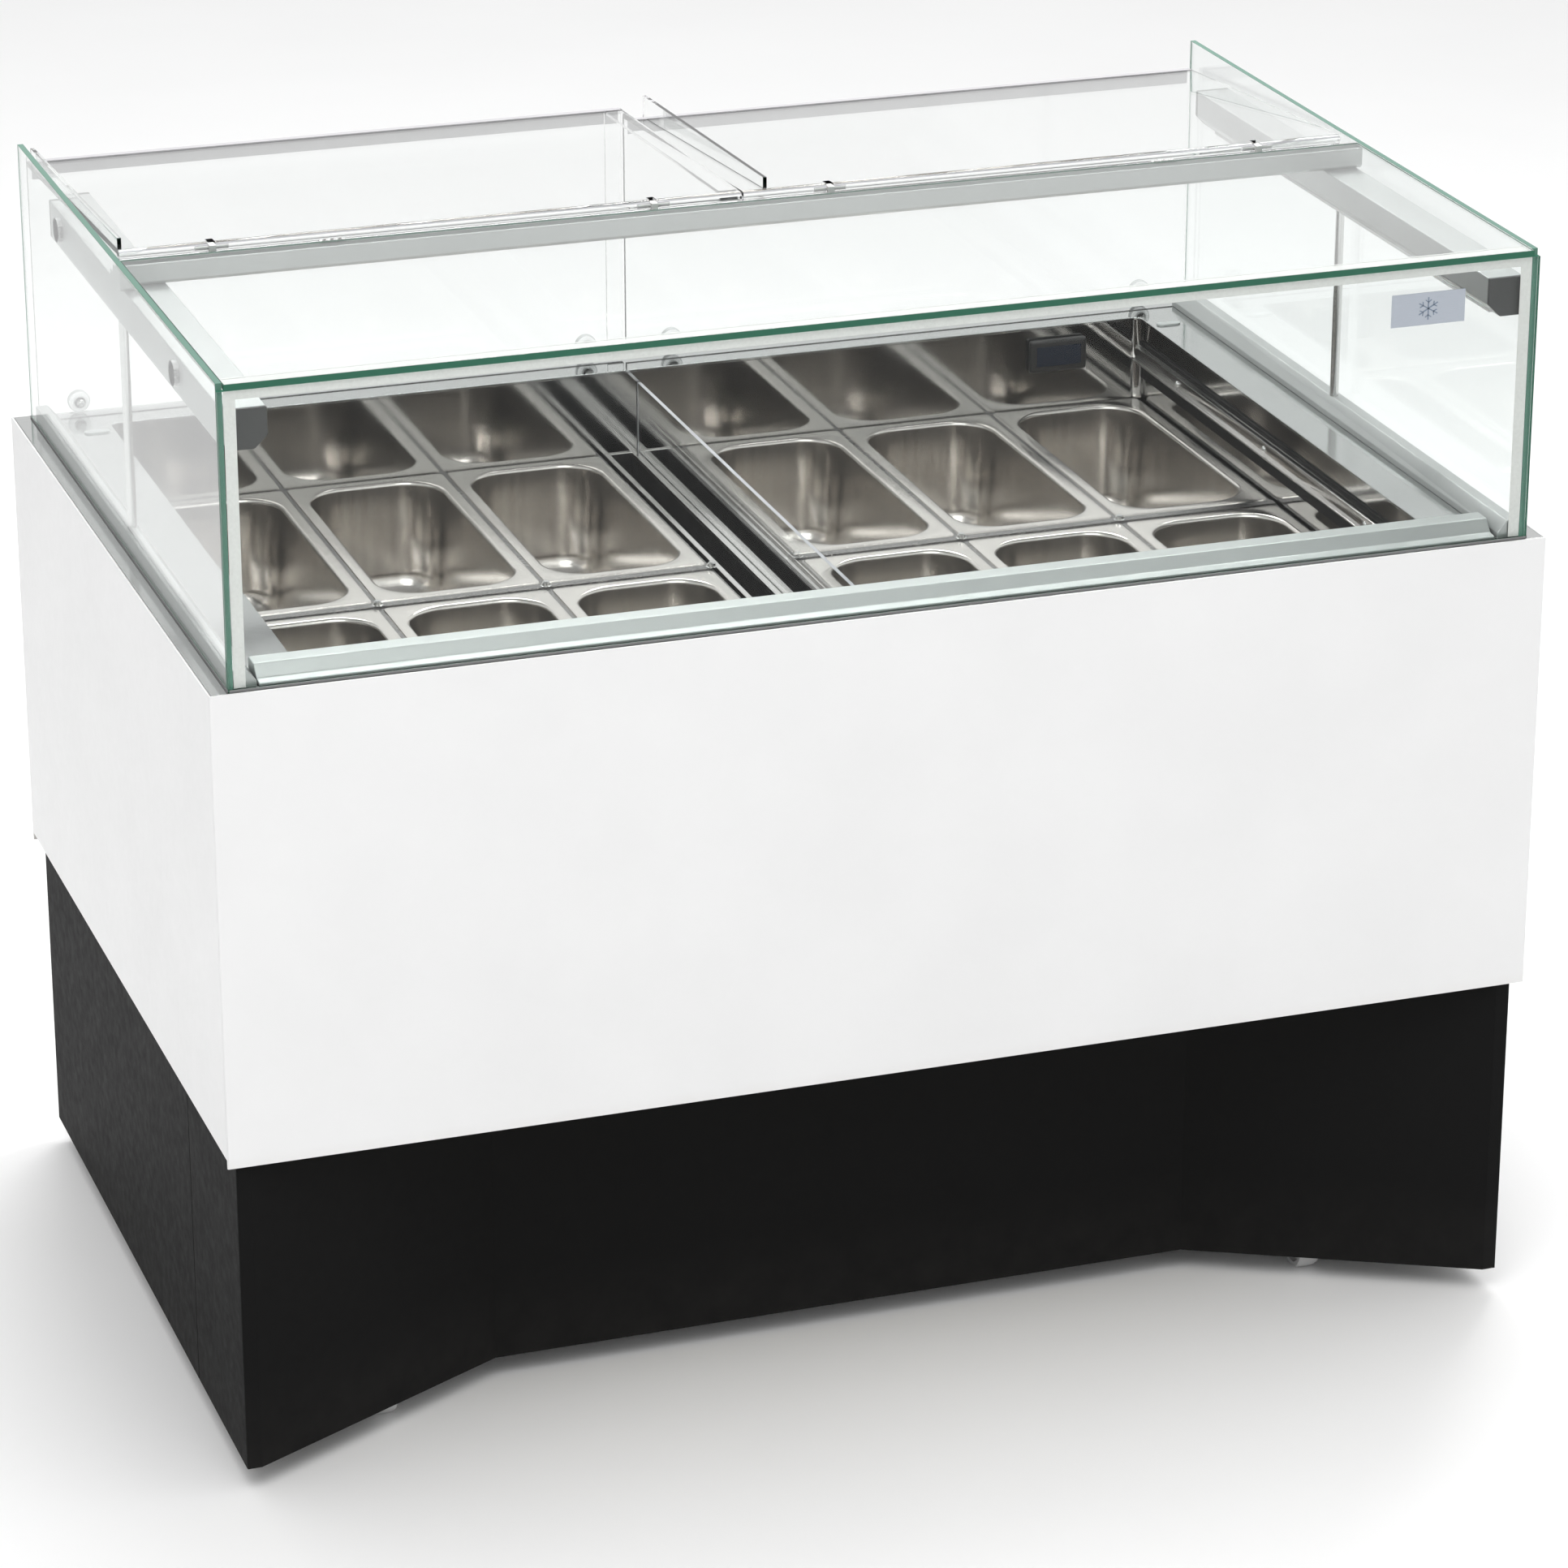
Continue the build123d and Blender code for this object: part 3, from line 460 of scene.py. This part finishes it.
def rounded_loop(half_x, half_y, radius):
    """Points round a rounded rectangle, the same count for any size."""
    points = []
    for corner, (sx, sy) in enumerate(((1, 1), (-1, 1), (-1, -1), (1, -1))):
        for step in range(PAN_CORNER_STEPS + 1):
            angle = math.pi / 2 * (corner + step / PAN_CORNER_STEPS)
            points.append((sx * (half_x - radius) + radius * math.cos(angle),
                           sy * (half_y - radius) + radius * math.sin(angle)))
    return points


def pan_rings(half_x, half_y, depth):
    """Half sizes, corner radius and height of each ring, from the rim's lip to the floor."""
    mouth_x, mouth_y, mouth_r = half_x - 0.0115, half_y - 0.0125, 0.044
    rings = [(half_x - 0.0006, half_y - 0.0006, 0.006, -0.0034),
             (half_x - 0.0001, half_y - 0.0001, 0.0065, -0.0014),
             (half_x - 0.0008, half_y - 0.0008, 0.006, -0.0003),
             (half_x - 0.0022, half_y - 0.0022, 0.0055, 0.0)]
    shoulder = 0.0045
    for step in range(7):
        angle = math.pi / 2 * step / 6
        inward = shoulder * math.sin(angle)
        rings.append((mouth_x + shoulder * 0.4 - inward, mouth_y + shoulder * 0.4 - inward,
                      mouth_r + shoulder * 0.4 - inward, -shoulder * (1 - math.cos(angle))))
    wall_top = shoulder
    foot = 0.026
    draft = math.tan(math.radians(3.0))
    wall_bottom = depth - foot
    for step in range(1, 6):
        z = wall_top + (wall_bottom - wall_top) * step / 5
        inward = shoulder * 0.6 + draft * (z - wall_top)
        rings.append((mouth_x - inward, mouth_y - inward, mouth_r - inward, -z))
    side = shoulder * 0.6 + draft * (wall_bottom - wall_top)
    for step in range(1, 9):
        angle = math.pi / 2 * step / 8
        inward = side + foot * (1 - math.cos(angle))
        z = wall_bottom + (foot - 0.0008) * math.sin(angle)
        rings.append((mouth_x - inward, mouth_y - inward, max(mouth_r - inward, 0.012), -z))
    rings.append((mouth_x - 0.05, mouth_y - 0.07, 0.012, -depth + 0.0008))
    return rings


def pan_mesh(half_x, half_y, depth):
    """One deep-drawn pan with its rim at z = 0, closed by a shell just outside."""
    def build(bm):
        previous = None
        for ring_x, ring_y, radius, z in pan_rings(half_x, half_y, depth):
            ring = [bm.verts.new((x, y, z)) for x, y in rounded_loop(ring_x, ring_y, radius)]
            if previous:
                count = len(ring)
                for step in range(count):
                    nxt = (step + 1) % count
                    bm.faces.new((previous[step], previous[nxt], ring[nxt], ring[step]))
            previous = ring
        bm.faces.new(previous)
    return mesh_from("pan", build)


def make_pans():
    """Deep-drawn pans in place of the CAD ones."""
    names = sorted(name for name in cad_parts
                   if name.startswith("pan_front") or name.startswith("pan_rear"))
    low, high = span(names[0])
    half = (high - low) / 2
    mesh = pan_mesh(half.x, half.y, high.z - low.z)
    for name in names:
        low, high = span(name)
        pan = bpy.data.objects.new(f"{name}_drawn", mesh.copy())
        bpy.context.scene.collection.objects.link(pan)
        pan.data.materials.append(PAN_STEEL)
        for polygon in pan.data.polygons:
            polygon.use_smooth = True
        pan.data.set_sharp_from_angle(angle=math.radians(40))
        pan.location = ((low.x + high.x) / 2, (low.y + high.y) / 2, high.z)
        shell = pan.modifiers.new("sheet", "SOLIDIFY")
        shell.thickness = 0.0008
        shell.offset = -1.0
        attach(pan, name)
        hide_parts(name)


# ---- channels, wall rails and hardware ----------------------------------------------
def make_channel_shade_sheets():
    """Painted shade: black sheets on the floors and walls of the two air channels in the divider
    stand for their dark depth.
    """
    low, high = span("centre_divider")
    for label, (x0, x1) in AIR_CHANNELS.items():
        def build(bm, x0=x0, x1=x1):
            gap = 0.0003
            wall = 0.0006
            y0, y1 = low.y + 0.0033, high.y - 0.0033
            z0, z1 = low.z + 0.003, high.z - 0.0035
            add_box(bm, (x0 + gap, y0, z0), (x0 + gap + wall, y1, z1))
            add_box(bm, (x1 - gap - wall, y0, z0), (x1 - gap, y1, z1))
            add_box(bm, (x0 + gap, y0, z0 + 0.040), (x1 - gap, y1, z0 + 0.041))
        # Black sheets that paint the shade inside each channel.
        new_piece(f"air_channel_painted_shade_{label}", mesh_from("channel", build), PAINTED_SHADE_BLACK)


def make_well_walls():
    """Air slot and ledge rail along each side wall of the well; the slot is painted shade on the
    wall, and a black strip above the rail is a painted shadow line.
    """
    low, high = span("pan_rack")
    rim = span("pan_front_1")[1].z
    wall = WELL_WALL_X
    for side in (-1, 1):
        label = "left" if side < 0 else "right"

        # Painted shade: a thin black sheet on the wall stands for the dark inside of the air slot.
        def slot(bm, side=side):
            x0, x1 = sorted((side * (wall - 0.0004), side * (wall - 0.0016)))
            add_box(bm, (x0, low.y + 0.002, rim + 0.024), (x1, high.y - 0.002, rim + 0.043))
        new_piece(f"wall_air_slot_painted_shade_{label}", mesh_from("slot", slot), PAINTED_SHADE_BLACK)

        def rail(bm, side=side):
            x0, x1 = sorted((side * (wall - 0.0004), side * (wall - 0.0075)))
            add_box(bm, (x0, low.y + 0.002, rim + 0.044), (x1, high.y - 0.002, rim + 0.058))
            x0, x1 = sorted((side * (wall - 0.0004), side * (wall - 0.0105)))
            add_box(bm, (x0, low.y + 0.002, rim + 0.0425), (x1, high.y - 0.002, rim + 0.0445))
            bevel_mesh(bm, 0.0006, 2)
        new_piece(f"wall_rail_{label}", mesh_from("rail", rail), RIDGE_STEEL)

        # Painted shadow: a black strip just above the ledge rail stands for a shadow line on the
        # wall.
        def shadow(bm, side=side):
            x0, x1 = sorted((side * (wall - 0.0004), side * (wall - 0.003)))
            add_box(bm, (x0, low.y + 0.002, rim + 0.060), (x1, high.y - 0.002, rim + 0.0645))
        new_piece(f"wall_painted_shadow_line_{label}", mesh_from("seal", shadow), PAINTED_SHADE_BLACK)

        def screws(bm, side=side):
            for y in (-0.23, 0.02, 0.25):
                head(bm, (side * (wall - 0.0075), y, rim + 0.051), (-side, 0, 0), 0.0032)
        new_piece(f"wall_rail_screws_{label}", mesh_from("screws", screws), BRIGHT)


def head(bm, place, direction, radius):
    """Domed screw head with a socket."""
    profile = [(0, radius * 0.25), (radius * 0.42, radius * 0.25), (radius * 0.5, radius * 0.62),
               (radius * 0.8, radius * 0.5), (radius, radius * 0.2), (radius, 0)]
    add_lathe(bm, profile, facing(place, direction), 24)


def make_pan_studs():
    """Small bright studs where four pans meet, and on the rack's outer ends."""
    rim = span("pan_front_1")[1].z
    inner = span("pan_front_4")[0].x - 0.002
    pitch = middle("pan_front_5").x - middle("pan_front_4").x
    stud = [(0, 0.0052), (0.0026, 0.0049), (0.0040, 0.0036), (0.0043, 0.0008), (0.0056, 0.0004),
            (0.0056, 0)]

    def build(bm):
        for side in (-1, 1):
            for column in range(3):
                place = Matrix.Translation((side * (inner + pitch * column), 0.0, rim))
                add_lathe(bm, stud, place, 24)
    new_piece("pan_rack_studs", mesh_from("studs", build), BRIGHT)


def make_cover_knobs():
    """Turned clear knobs with a screw, in place of the plain CAD discs."""
    for side in ("left", "right"):
        node = f"{side}_cover_knobs"
        low, high = span(node)
        radius = (high.z - low.z) / 2
        z = (low.z + high.z) / 2
        depth = high.y - low.y
        xs = (low.x + radius, high.x - radius)

        def knobs(bm):
            for x in xs:
                profile = [(0, depth - 0.0012), (radius * 0.35, depth - 0.0010),
                           (radius * 0.75, depth), (radius * 0.93, depth - 0.0006),
                           (radius, depth - 0.0028), (radius, 0.0052), (radius * 0.9, 0.0042),
                           (radius * 0.55, 0.0036), (radius * 0.46, 0.002),
                           (radius * 0.5, 0.0), (0, 0.0)]
                add_lathe(bm, profile, facing((x, low.y, z), (0, 1, 0)), 40)
        piece = new_piece(f"{side}_knobs_turned", mesh_from("knobs", knobs), KNOB_ACRYLIC,
                          f"{side}_cover", 50)
        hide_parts(node)

        def screws(bm):
            for x in xs:
                head(bm, (x, low.y - 0.0052, z), (0, -1, 0), 0.0042)
                add_rod(bm, 0.0021, (x, low.y - 0.0052, z), (x, low.y + depth * 0.72, z), 20)
        new_piece(f"{side}_knob_screws", mesh_from("knob_screws", screws), BRIGHT,
                  f"{side}_cover")


def make_cover_trims():
    """Satin strips on both sides of the rear bend of each cover."""
    for side, fall in COVER_FALL.items():
        low, high = span(f"{side}_cover")
        slope = fall / (high.y - HINGE_Y)
        bend = COVER_TOP - fall

        def strip(bm, low=low, high=high, slope=slope):
            corners = []
            for y in (high.y - 0.0135, high.y - 0.0045):
                for lift in (0.0002, 0.0010):
                    corners.append((y, COVER_TOP - slope * (y - HINGE_Y) + lift))
            order = (corners[0], corners[2], corners[3], corners[1])
            ends = [[bm.verts.new((x, y, z)) for y, z in order]
                    for x in (low.x + 0.005, high.x - 0.002)]
            bm.faces.new(ends[0])
            bm.faces.new(list(reversed(ends[1])))
            for step in range(4):
                nxt = (step + 1) % 4
                bm.faces.new((ends[0][step], ends[1][step], ends[1][nxt], ends[0][nxt]))
        new_piece(f"{side}_cover_trim", mesh_from("trim", strip), TRIM, f"{side}_cover")

        def wall_strip(bm, low=low, high=high, bend=bend):
            add_box(bm, (low.x + 0.005, high.y + 0.0002, bend - 0.0200),
                    (high.x - 0.002, high.y + 0.0010, bend - 0.0035))
        new_piece(f"{side}_wall_trim", mesh_from("wall_trim", wall_strip), TRIM, f"{side}_cover")

        def line(bm, low=low, high=high, bend=bend):
            add_box(bm, (low.x + 0.005, high.y + 0.0002, bend - 0.0034),
                    (high.x - 0.002, high.y + 0.0010, bend - 0.0024))
        new_piece(f"{side}_trim_line", mesh_from("trim_line", line), TRIM_SHADOW, f"{side}_cover")


def make_glass_discs():
    """Clear discs between side glass and beam, with a chrome screw through each."""
    low, high = span("glass_fixing_discs")
    paint(KNOB_ACRYLIC, "glass_fixing_discs")
    z = (low.z + high.z) / 2
    radius = (high.z - low.z) / 2
    glass = span("side_glass_right")[0].x

    def build(bm):
        for side in (-1, 1):
            for y in (low.y + radius, high.y - radius):
                add_rod(bm, 0.003, (side * (glass - 0.0052), y, z), (side * (glass - 0.0004), y, z))
    new_piece("glass_disc_screws", mesh_from("disc_screws", build), BRIGHT)


def make_top_clips():
    """Two clips with three small bolts each, on the rear edge of the top glass."""
    rear = span("top_glass")[1]

    places = (-0.427, 0.427)

    def clips(bm):
        for x in places:
            add_box(bm, (x - 0.012, rear.y + 0.0004, rear.z - 0.0058),
                    (x + 0.012, rear.y + 0.0115, rear.z - 0.0022))
    new_piece("top_glass_clips", mesh_from("clips", clips), SATIN_BRIGHT)

    def bolts(bm):
        for x in places:
            for dx in (-0.0075, 0.0, 0.0075):
                head(bm, (x + dx, rear.y + 0.006, rear.z - 0.0022), (0, 0, 1), 0.0032)
    new_piece("top_clip_bolts", mesh_from("clip_bolts", bolts), BRIGHT)


def make_front_border():
    """Pale bonded border inside the edges of the front and top glass."""
    low, high = span("front_glass")
    y = high.y + 0.0002
    wide = 0.011

    def front(bm):
        add_box(bm, (low.x + 0.0065, y, high.z - 0.010), (high.x - 0.0065, y + 0.0004, high.z))
        for side in (-1, 1):
            x0, x1 = sorted((side * (high.x - 0.0065), side * (high.x - 0.0065 - wide)))
            add_box(bm, (x0, y, low.z + 0.001), (x1, y + 0.0004, high.z - 0.010))
    new_piece("front_glass_border", mesh_from("border", front), BORDER)

    low, high = span("top_glass")

    def top(bm):
        z = low.z - 0.0006
        add_box(bm, (low.x + 0.001, low.y + 0.008, z), (high.x - 0.001, low.y + 0.020, z + 0.0004))
        add_box(bm, (low.x + 0.001, low.y + 0.0225, z),
                (high.x - 0.001, low.y + 0.0245, z + 0.0004))
    new_piece("top_glass_border", mesh_from("top_border", top), BORDER)


def make_label():
    """Plain silver label with a generic snowflake on the front glass."""
    low, high = span("front_glass")
    cx, cz = 0.526, 1.054
    y = low.y - 0.0006

    def plate(bm):
        add_box(bm, (cx - 0.038, y, cz - 0.016), (cx + 0.038, low.y - 0.0001, cz + 0.016))
        bevel_mesh(bm, 0.0002, 1)
    new_piece("front_label", mesh_from("label", plate), LABEL)

    def flake(bm):
        for arm in range(6):
            angle = math.pi / 3 * arm
            turn = Matrix.Translation((cx, 0, cz)) @ Matrix.Rotation(angle, 4, "Y")
            verts = add_box(bm, (-0.0006, y - 0.0003, 0), (0.0006, y, 0.011))
            bmesh.ops.transform(bm, matrix=turn, verts=verts)
            for way in (-1, 1):
                verts = add_box(bm, (-0.0005, y - 0.0003, 0), (0.0005, y, 0.0038))
                tip = Matrix.Translation((0, 0, 0.0062)) @ Matrix.Rotation(way * 0.95, 4, "Y")
                bmesh.ops.transform(bm, matrix=turn @ tip, verts=verts)
    new_piece("front_label_flake", mesh_from("flake", flake), LABEL_INK)


def make_worktop_details():
    """Oval plates on the worktop behind the well."""
    top = span("worktop")[1].z

    def plates(bm):
        for x, y in ((-0.583, 0.347), (0.583, 0.336)):
            points = rounded_loop(0.0135, 0.0058, 0.0056)
            foot = [bm.verts.new((x + px, y + py, top - 0.0004)) for px, py in points]
            face = [bm.verts.new((x + px * 0.97, y + py * 0.93, top + 0.0016))
                    for px, py in points]
            count = len(points)
            for step in range(count):
                nxt = (step + 1) % count
                bm.faces.new((foot[step], foot[nxt], face[nxt], face[step]))
            bm.faces.new(face)
            bm.faces.new(list(reversed(foot)))
    new_piece("worktop_plates", mesh_from("plates", plates), ALUMINIUM)


def make_thermometer():
    """Well thermometer on the rear wall of the well."""
    wall = span("inner_liner")[1].y - 0.0132
    rim = span("pan_front_1")[1].z
    x0, x1, z0, z1 = 0.435, 0.500, rim + 0.041, rim + 0.077

    def case(bm):
        add_box(bm, (x0, wall - 0.009, z0), (x1, wall - 0.0003, z1))
        bevel_mesh(bm, 0.0035, 3)
    new_piece("well_thermometer", mesh_from("case", case), BLACK_PLASTIC)

    def glass(bm):
        add_box(bm, (x0 + 0.007, wall - 0.0096, z0 + 0.007),
                (x1 - 0.007, wall - 0.0088, z1 - 0.007))
        bevel_mesh(bm, 0.0003, 1)
    new_piece("well_thermometer_window", mesh_from("window", glass), WINDOW)


def make_glass_gaskets():
    """Thin dark seals along the foot of the canopy glass."""
    low, high = span("front_glass")
    top = span("worktop")[1].z

    def build(bm):
        add_box(bm, (low.x + 0.001, low.y - 0.0006, top + 0.0001),
                (high.x - 0.001, low.y - 0.0001, top + 0.0022))
        for side in (-1, 1):
            x0, x1 = sorted((side * (high.x + 0.0001), side * (high.x + 0.0007)))
            add_box(bm, (x0, low.y + 0.001, top + 0.0001),
                    (x1, span("side_glass_left")[1].y, top + 0.0022))
    new_piece("glass_gaskets", mesh_from("gaskets", build), SEAL_GREY)


SEGMENTS = {"top": (0, 1), "middle": (0, 0), "bottom": (0, -1), "upper_left": (-1, 0.5),
            "upper_right": (1, 0.5), "lower_left": (-1, -0.5), "lower_right": (1, -0.5)}
DIGITS = {"-": "middle", "1": "upper_right lower_right",
          "6": "top middle bottom upper_left lower_left lower_right"}


def make_control_details():
    """Display window with a temperature, key caps and bezel strips on the rear panel, and screws on
    the rear grille.
    """
    low, high = span("control_panel")
    face = high.y - 0.0008
    z = (low.z + high.z) / 2

    def window(bm):
        add_box(bm, (low.x + 0.0188, face - 0.0012, low.z + 0.0148),
                (low.x + 0.0852, face - 0.0004, high.z - 0.0148))
    new_piece("control_window", mesh_from("control_window", window), WINDOW)

    def digits(bm):
        for place, digit in enumerate("-16"):
            x = low.x + 0.066 - 0.016 * place
            for name in DIGITS[digit].split():
                dx, dz = SEGMENTS[name]
                wide, tall = (0.0032, 0.0006) if dx == 0 else (0.0006, 0.0032)
                centre = Vector((x - dx * 0.0042, face - 0.0002, z + dz * 0.0078))
                add_box(bm, centre - Vector((wide, 0.0001, tall)),
                        centre + Vector((wide, 0.0001, tall)))
    new_piece("control_digits", mesh_from("digits", digits), DIGIT_GLOW)

    def keys(bm):
        for key in range(4):
            place = (low.x + 0.098 + 0.009 * (key % 2), high.y - 0.0004,
                     z - 0.008 + 0.016 * (key // 2))
            add_lathe(bm, [(0, 0.0011), (0.0026, 0.0010), (0.0031, 0.0004), (0.0031, 0)],
                      facing(place, (0, 1, 0)), 24)
    new_piece("control_keys", mesh_from("keys", keys), KEY_GREY)

    def bezel(bm):
        for z0, z1 in ((low.z + 0.0010, low.z + 0.0022), (high.z - 0.0010, high.z - 0.0002)):
            add_box(bm, (low.x + 0.001, face, z0), (high.x - 0.001, face + 0.0006, z1))
    new_piece("control_bezel", mesh_from("bezel", bezel), KEY_GREY)

    def panel_screws(bm):
        panel_low, panel_high = span("plinth_rear_grille")
        for x in (panel_low.x + 0.02, -0.3, 0.3, panel_high.x - 0.02):
            for height in (panel_low.z + 0.02, panel_high.z - 0.015):
                head(bm, (x, panel_high.y, height), (0, 1, 0), 0.0042)
    new_piece("rear_panel_screws", mesh_from("panel_screws", panel_screws), BRIGHT)


def make_castors():
    """Castor wheels with tread, hub and bearing caps."""
    for name in ("front_left", "front_right", "rear_left", "rear_right"):
        node = f"castor_wheel_{name}"
        low, high = span(node)
        centre = (low + high) / 2
        radius = (high.z - low.z) / 2
        half = (high.x - low.x) / 2

        def tyre(bm):
            profile = [(0.0042, -half * 0.9), (0.0085, -half * 0.9), (0.0095, -half * 0.55),
                       (radius * 0.70, -half * 0.55), (radius * 0.76, -half * 0.95),
                       (radius * 0.93, -half), (radius * 0.985, -half * 0.72),
                       (radius, -half * 0.3), (radius, half * 0.3),
                       (radius * 0.985, half * 0.72), (radius * 0.93, half),
                       (radius * 0.76, half * 0.95), (radius * 0.70, half * 0.55),
                       (0.0095, half * 0.55), (0.0085, half * 0.9), (0.0042, half * 0.9),
                       (0.0042, -half * 0.9)]
            add_lathe(bm, profile, facing(centre, (1, 0, 0)), 48)
        piece = new_piece(f"wheel_{name}_turned", mesh_from("wheel", tyre), WHEEL_GREY,
                          f"wheel_{name}", 40)
        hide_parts(node)
        paint(BRIGHT, f"castor_fork_{name}")


# ---- stage --------------------------------------------------------------------------
def make_stage():
    """Pale floor far wider than the view."""
    def build(bm):
        verts = [bm.verts.new(p) for p in ((-14, -14, 0), (14, -14, 0), (14, 14, 0), (-14, 14, 0))]
        bm.faces.new(verts)
    mesh = mesh_from("floor", build)
    mesh.materials.append(floor_paint())
    floor = bpy.data.objects.new("floor", mesh)
    bpy.context.scene.collection.objects.link(floor)


def make_world():
    """Studio surround: bright towards the horizon and dimmer overhead."""
    world = bpy.data.worlds.new("studio")
    bpy.context.scene.world = world
    world.use_nodes = True
    tree = world.node_tree
    coords = tree.nodes.new("ShaderNodeTexCoord")
    split = tree.nodes.new("ShaderNodeSeparateXYZ")
    height = tree.nodes.new("ShaderNodeMapRange")
    height.interpolation_type = "SMOOTHSTEP"
    tree.links.new(coords.outputs["Generated"], split.inputs[0])
    tree.links.new(split.outputs["Z"], height.inputs["Value"])
    for name, value in (("From Min", 0.35), ("From Max", 0.95), ("To Min", 0.93),
                        ("To Max", 0.33)):
        height.inputs[name].default_value = value
    across = tree.nodes.new("ShaderNodeMapRange")
    tree.links.new(split.outputs["X"], across.inputs["Value"])
    for name, value in (("From Min", -1.0), ("From Max", 1.0), ("To Min", 0.86),
                        ("To Max", 1.12)):
        across.inputs[name].default_value = value
    strength = tree.nodes.new("ShaderNodeMath")
    strength.operation = "MULTIPLY"
    tree.links.new(height.outputs["Result"], strength.inputs[0])
    tree.links.new(across.outputs["Result"], strength.inputs[1])
    tree.links.new(strength.outputs["Value"], tree.nodes["Background"].inputs["Strength"])
    tree.nodes["Background"].inputs["Color"].default_value = (1, 1, 1, 1)


def add_area(name, place, target, size, power, tint=(1, 1, 1)):
    light = bpy.data.lights.new(name, "AREA")
    light.shape = "RECTANGLE"
    light.size, light.size_y = size
    light.energy = power
    light.color = tint
    lamp = bpy.data.objects.new(name, light)
    bpy.context.scene.collection.objects.link(lamp)
    lamp.location = place
    lamp.rotation_euler = (Vector(target) - Vector(place)).to_track_quat("-Z", "Y").to_euler()
    return lamp


def make_lights():
    """Large overhead diffuser, and smaller soft boxes that draw highlights in the metal."""
    diffuser = add_area("overhead", (0, 1.5, 7.0), (0, 1.5, 0), (13, 13), 390)
    diffuser.visible_glossy = False
    diffuser.visible_transmission = False
    add_area("left_box", (-0.9, -2.4, 3.5), (0, 0, 0.7), (2.2, 2.2), 44)
    add_area("rear_box", (0.3, 2.1, 3.4), (0, 0, 0.7), (1.6, 0.6), 40)
    add_area("right_box", (1.6, 1.0, 3.4), (0, 0, 0.7), (0.4, 1.8), 24)


def make_camera():
    """Pitched camera at the viewing angle of a product shot: azimuth, elevation, distance."""
    azimuth, elevation, distance = math.radians(-19.06), math.radians(21.79), 5.80
    target = Vector((0.030, 0.0, 0.478))
    back = Vector((math.sin(azimuth) * math.cos(elevation),
                   -math.cos(azimuth) * math.cos(elevation), math.sin(elevation)))
    data = bpy.data.cameras.new("camera")
    data.lens = 131.0
    data.sensor_width = 36.0
    camera = bpy.data.objects.new("camera", data)
    camera.location = target + back * distance
    camera.rotation_euler = (-back).to_track_quat("-Z", "Y").to_euler()
    bpy.context.scene.collection.objects.link(camera)
    bpy.context.scene.camera = camera


make_camera()
make_world()
make_lights()
make_stage()
finish_cad_nodes()
make_pans()
make_channel_shade_sheets()
make_well_walls()
make_pan_studs()
make_cover_knobs()
make_cover_trims()
make_glass_discs()
make_top_clips()
make_front_border()
make_label()
make_worktop_details()
make_thermometer()
make_glass_gaskets()
make_control_details()
make_castors()
bpy.context.scene.view_settings.view_transform = "Standard"
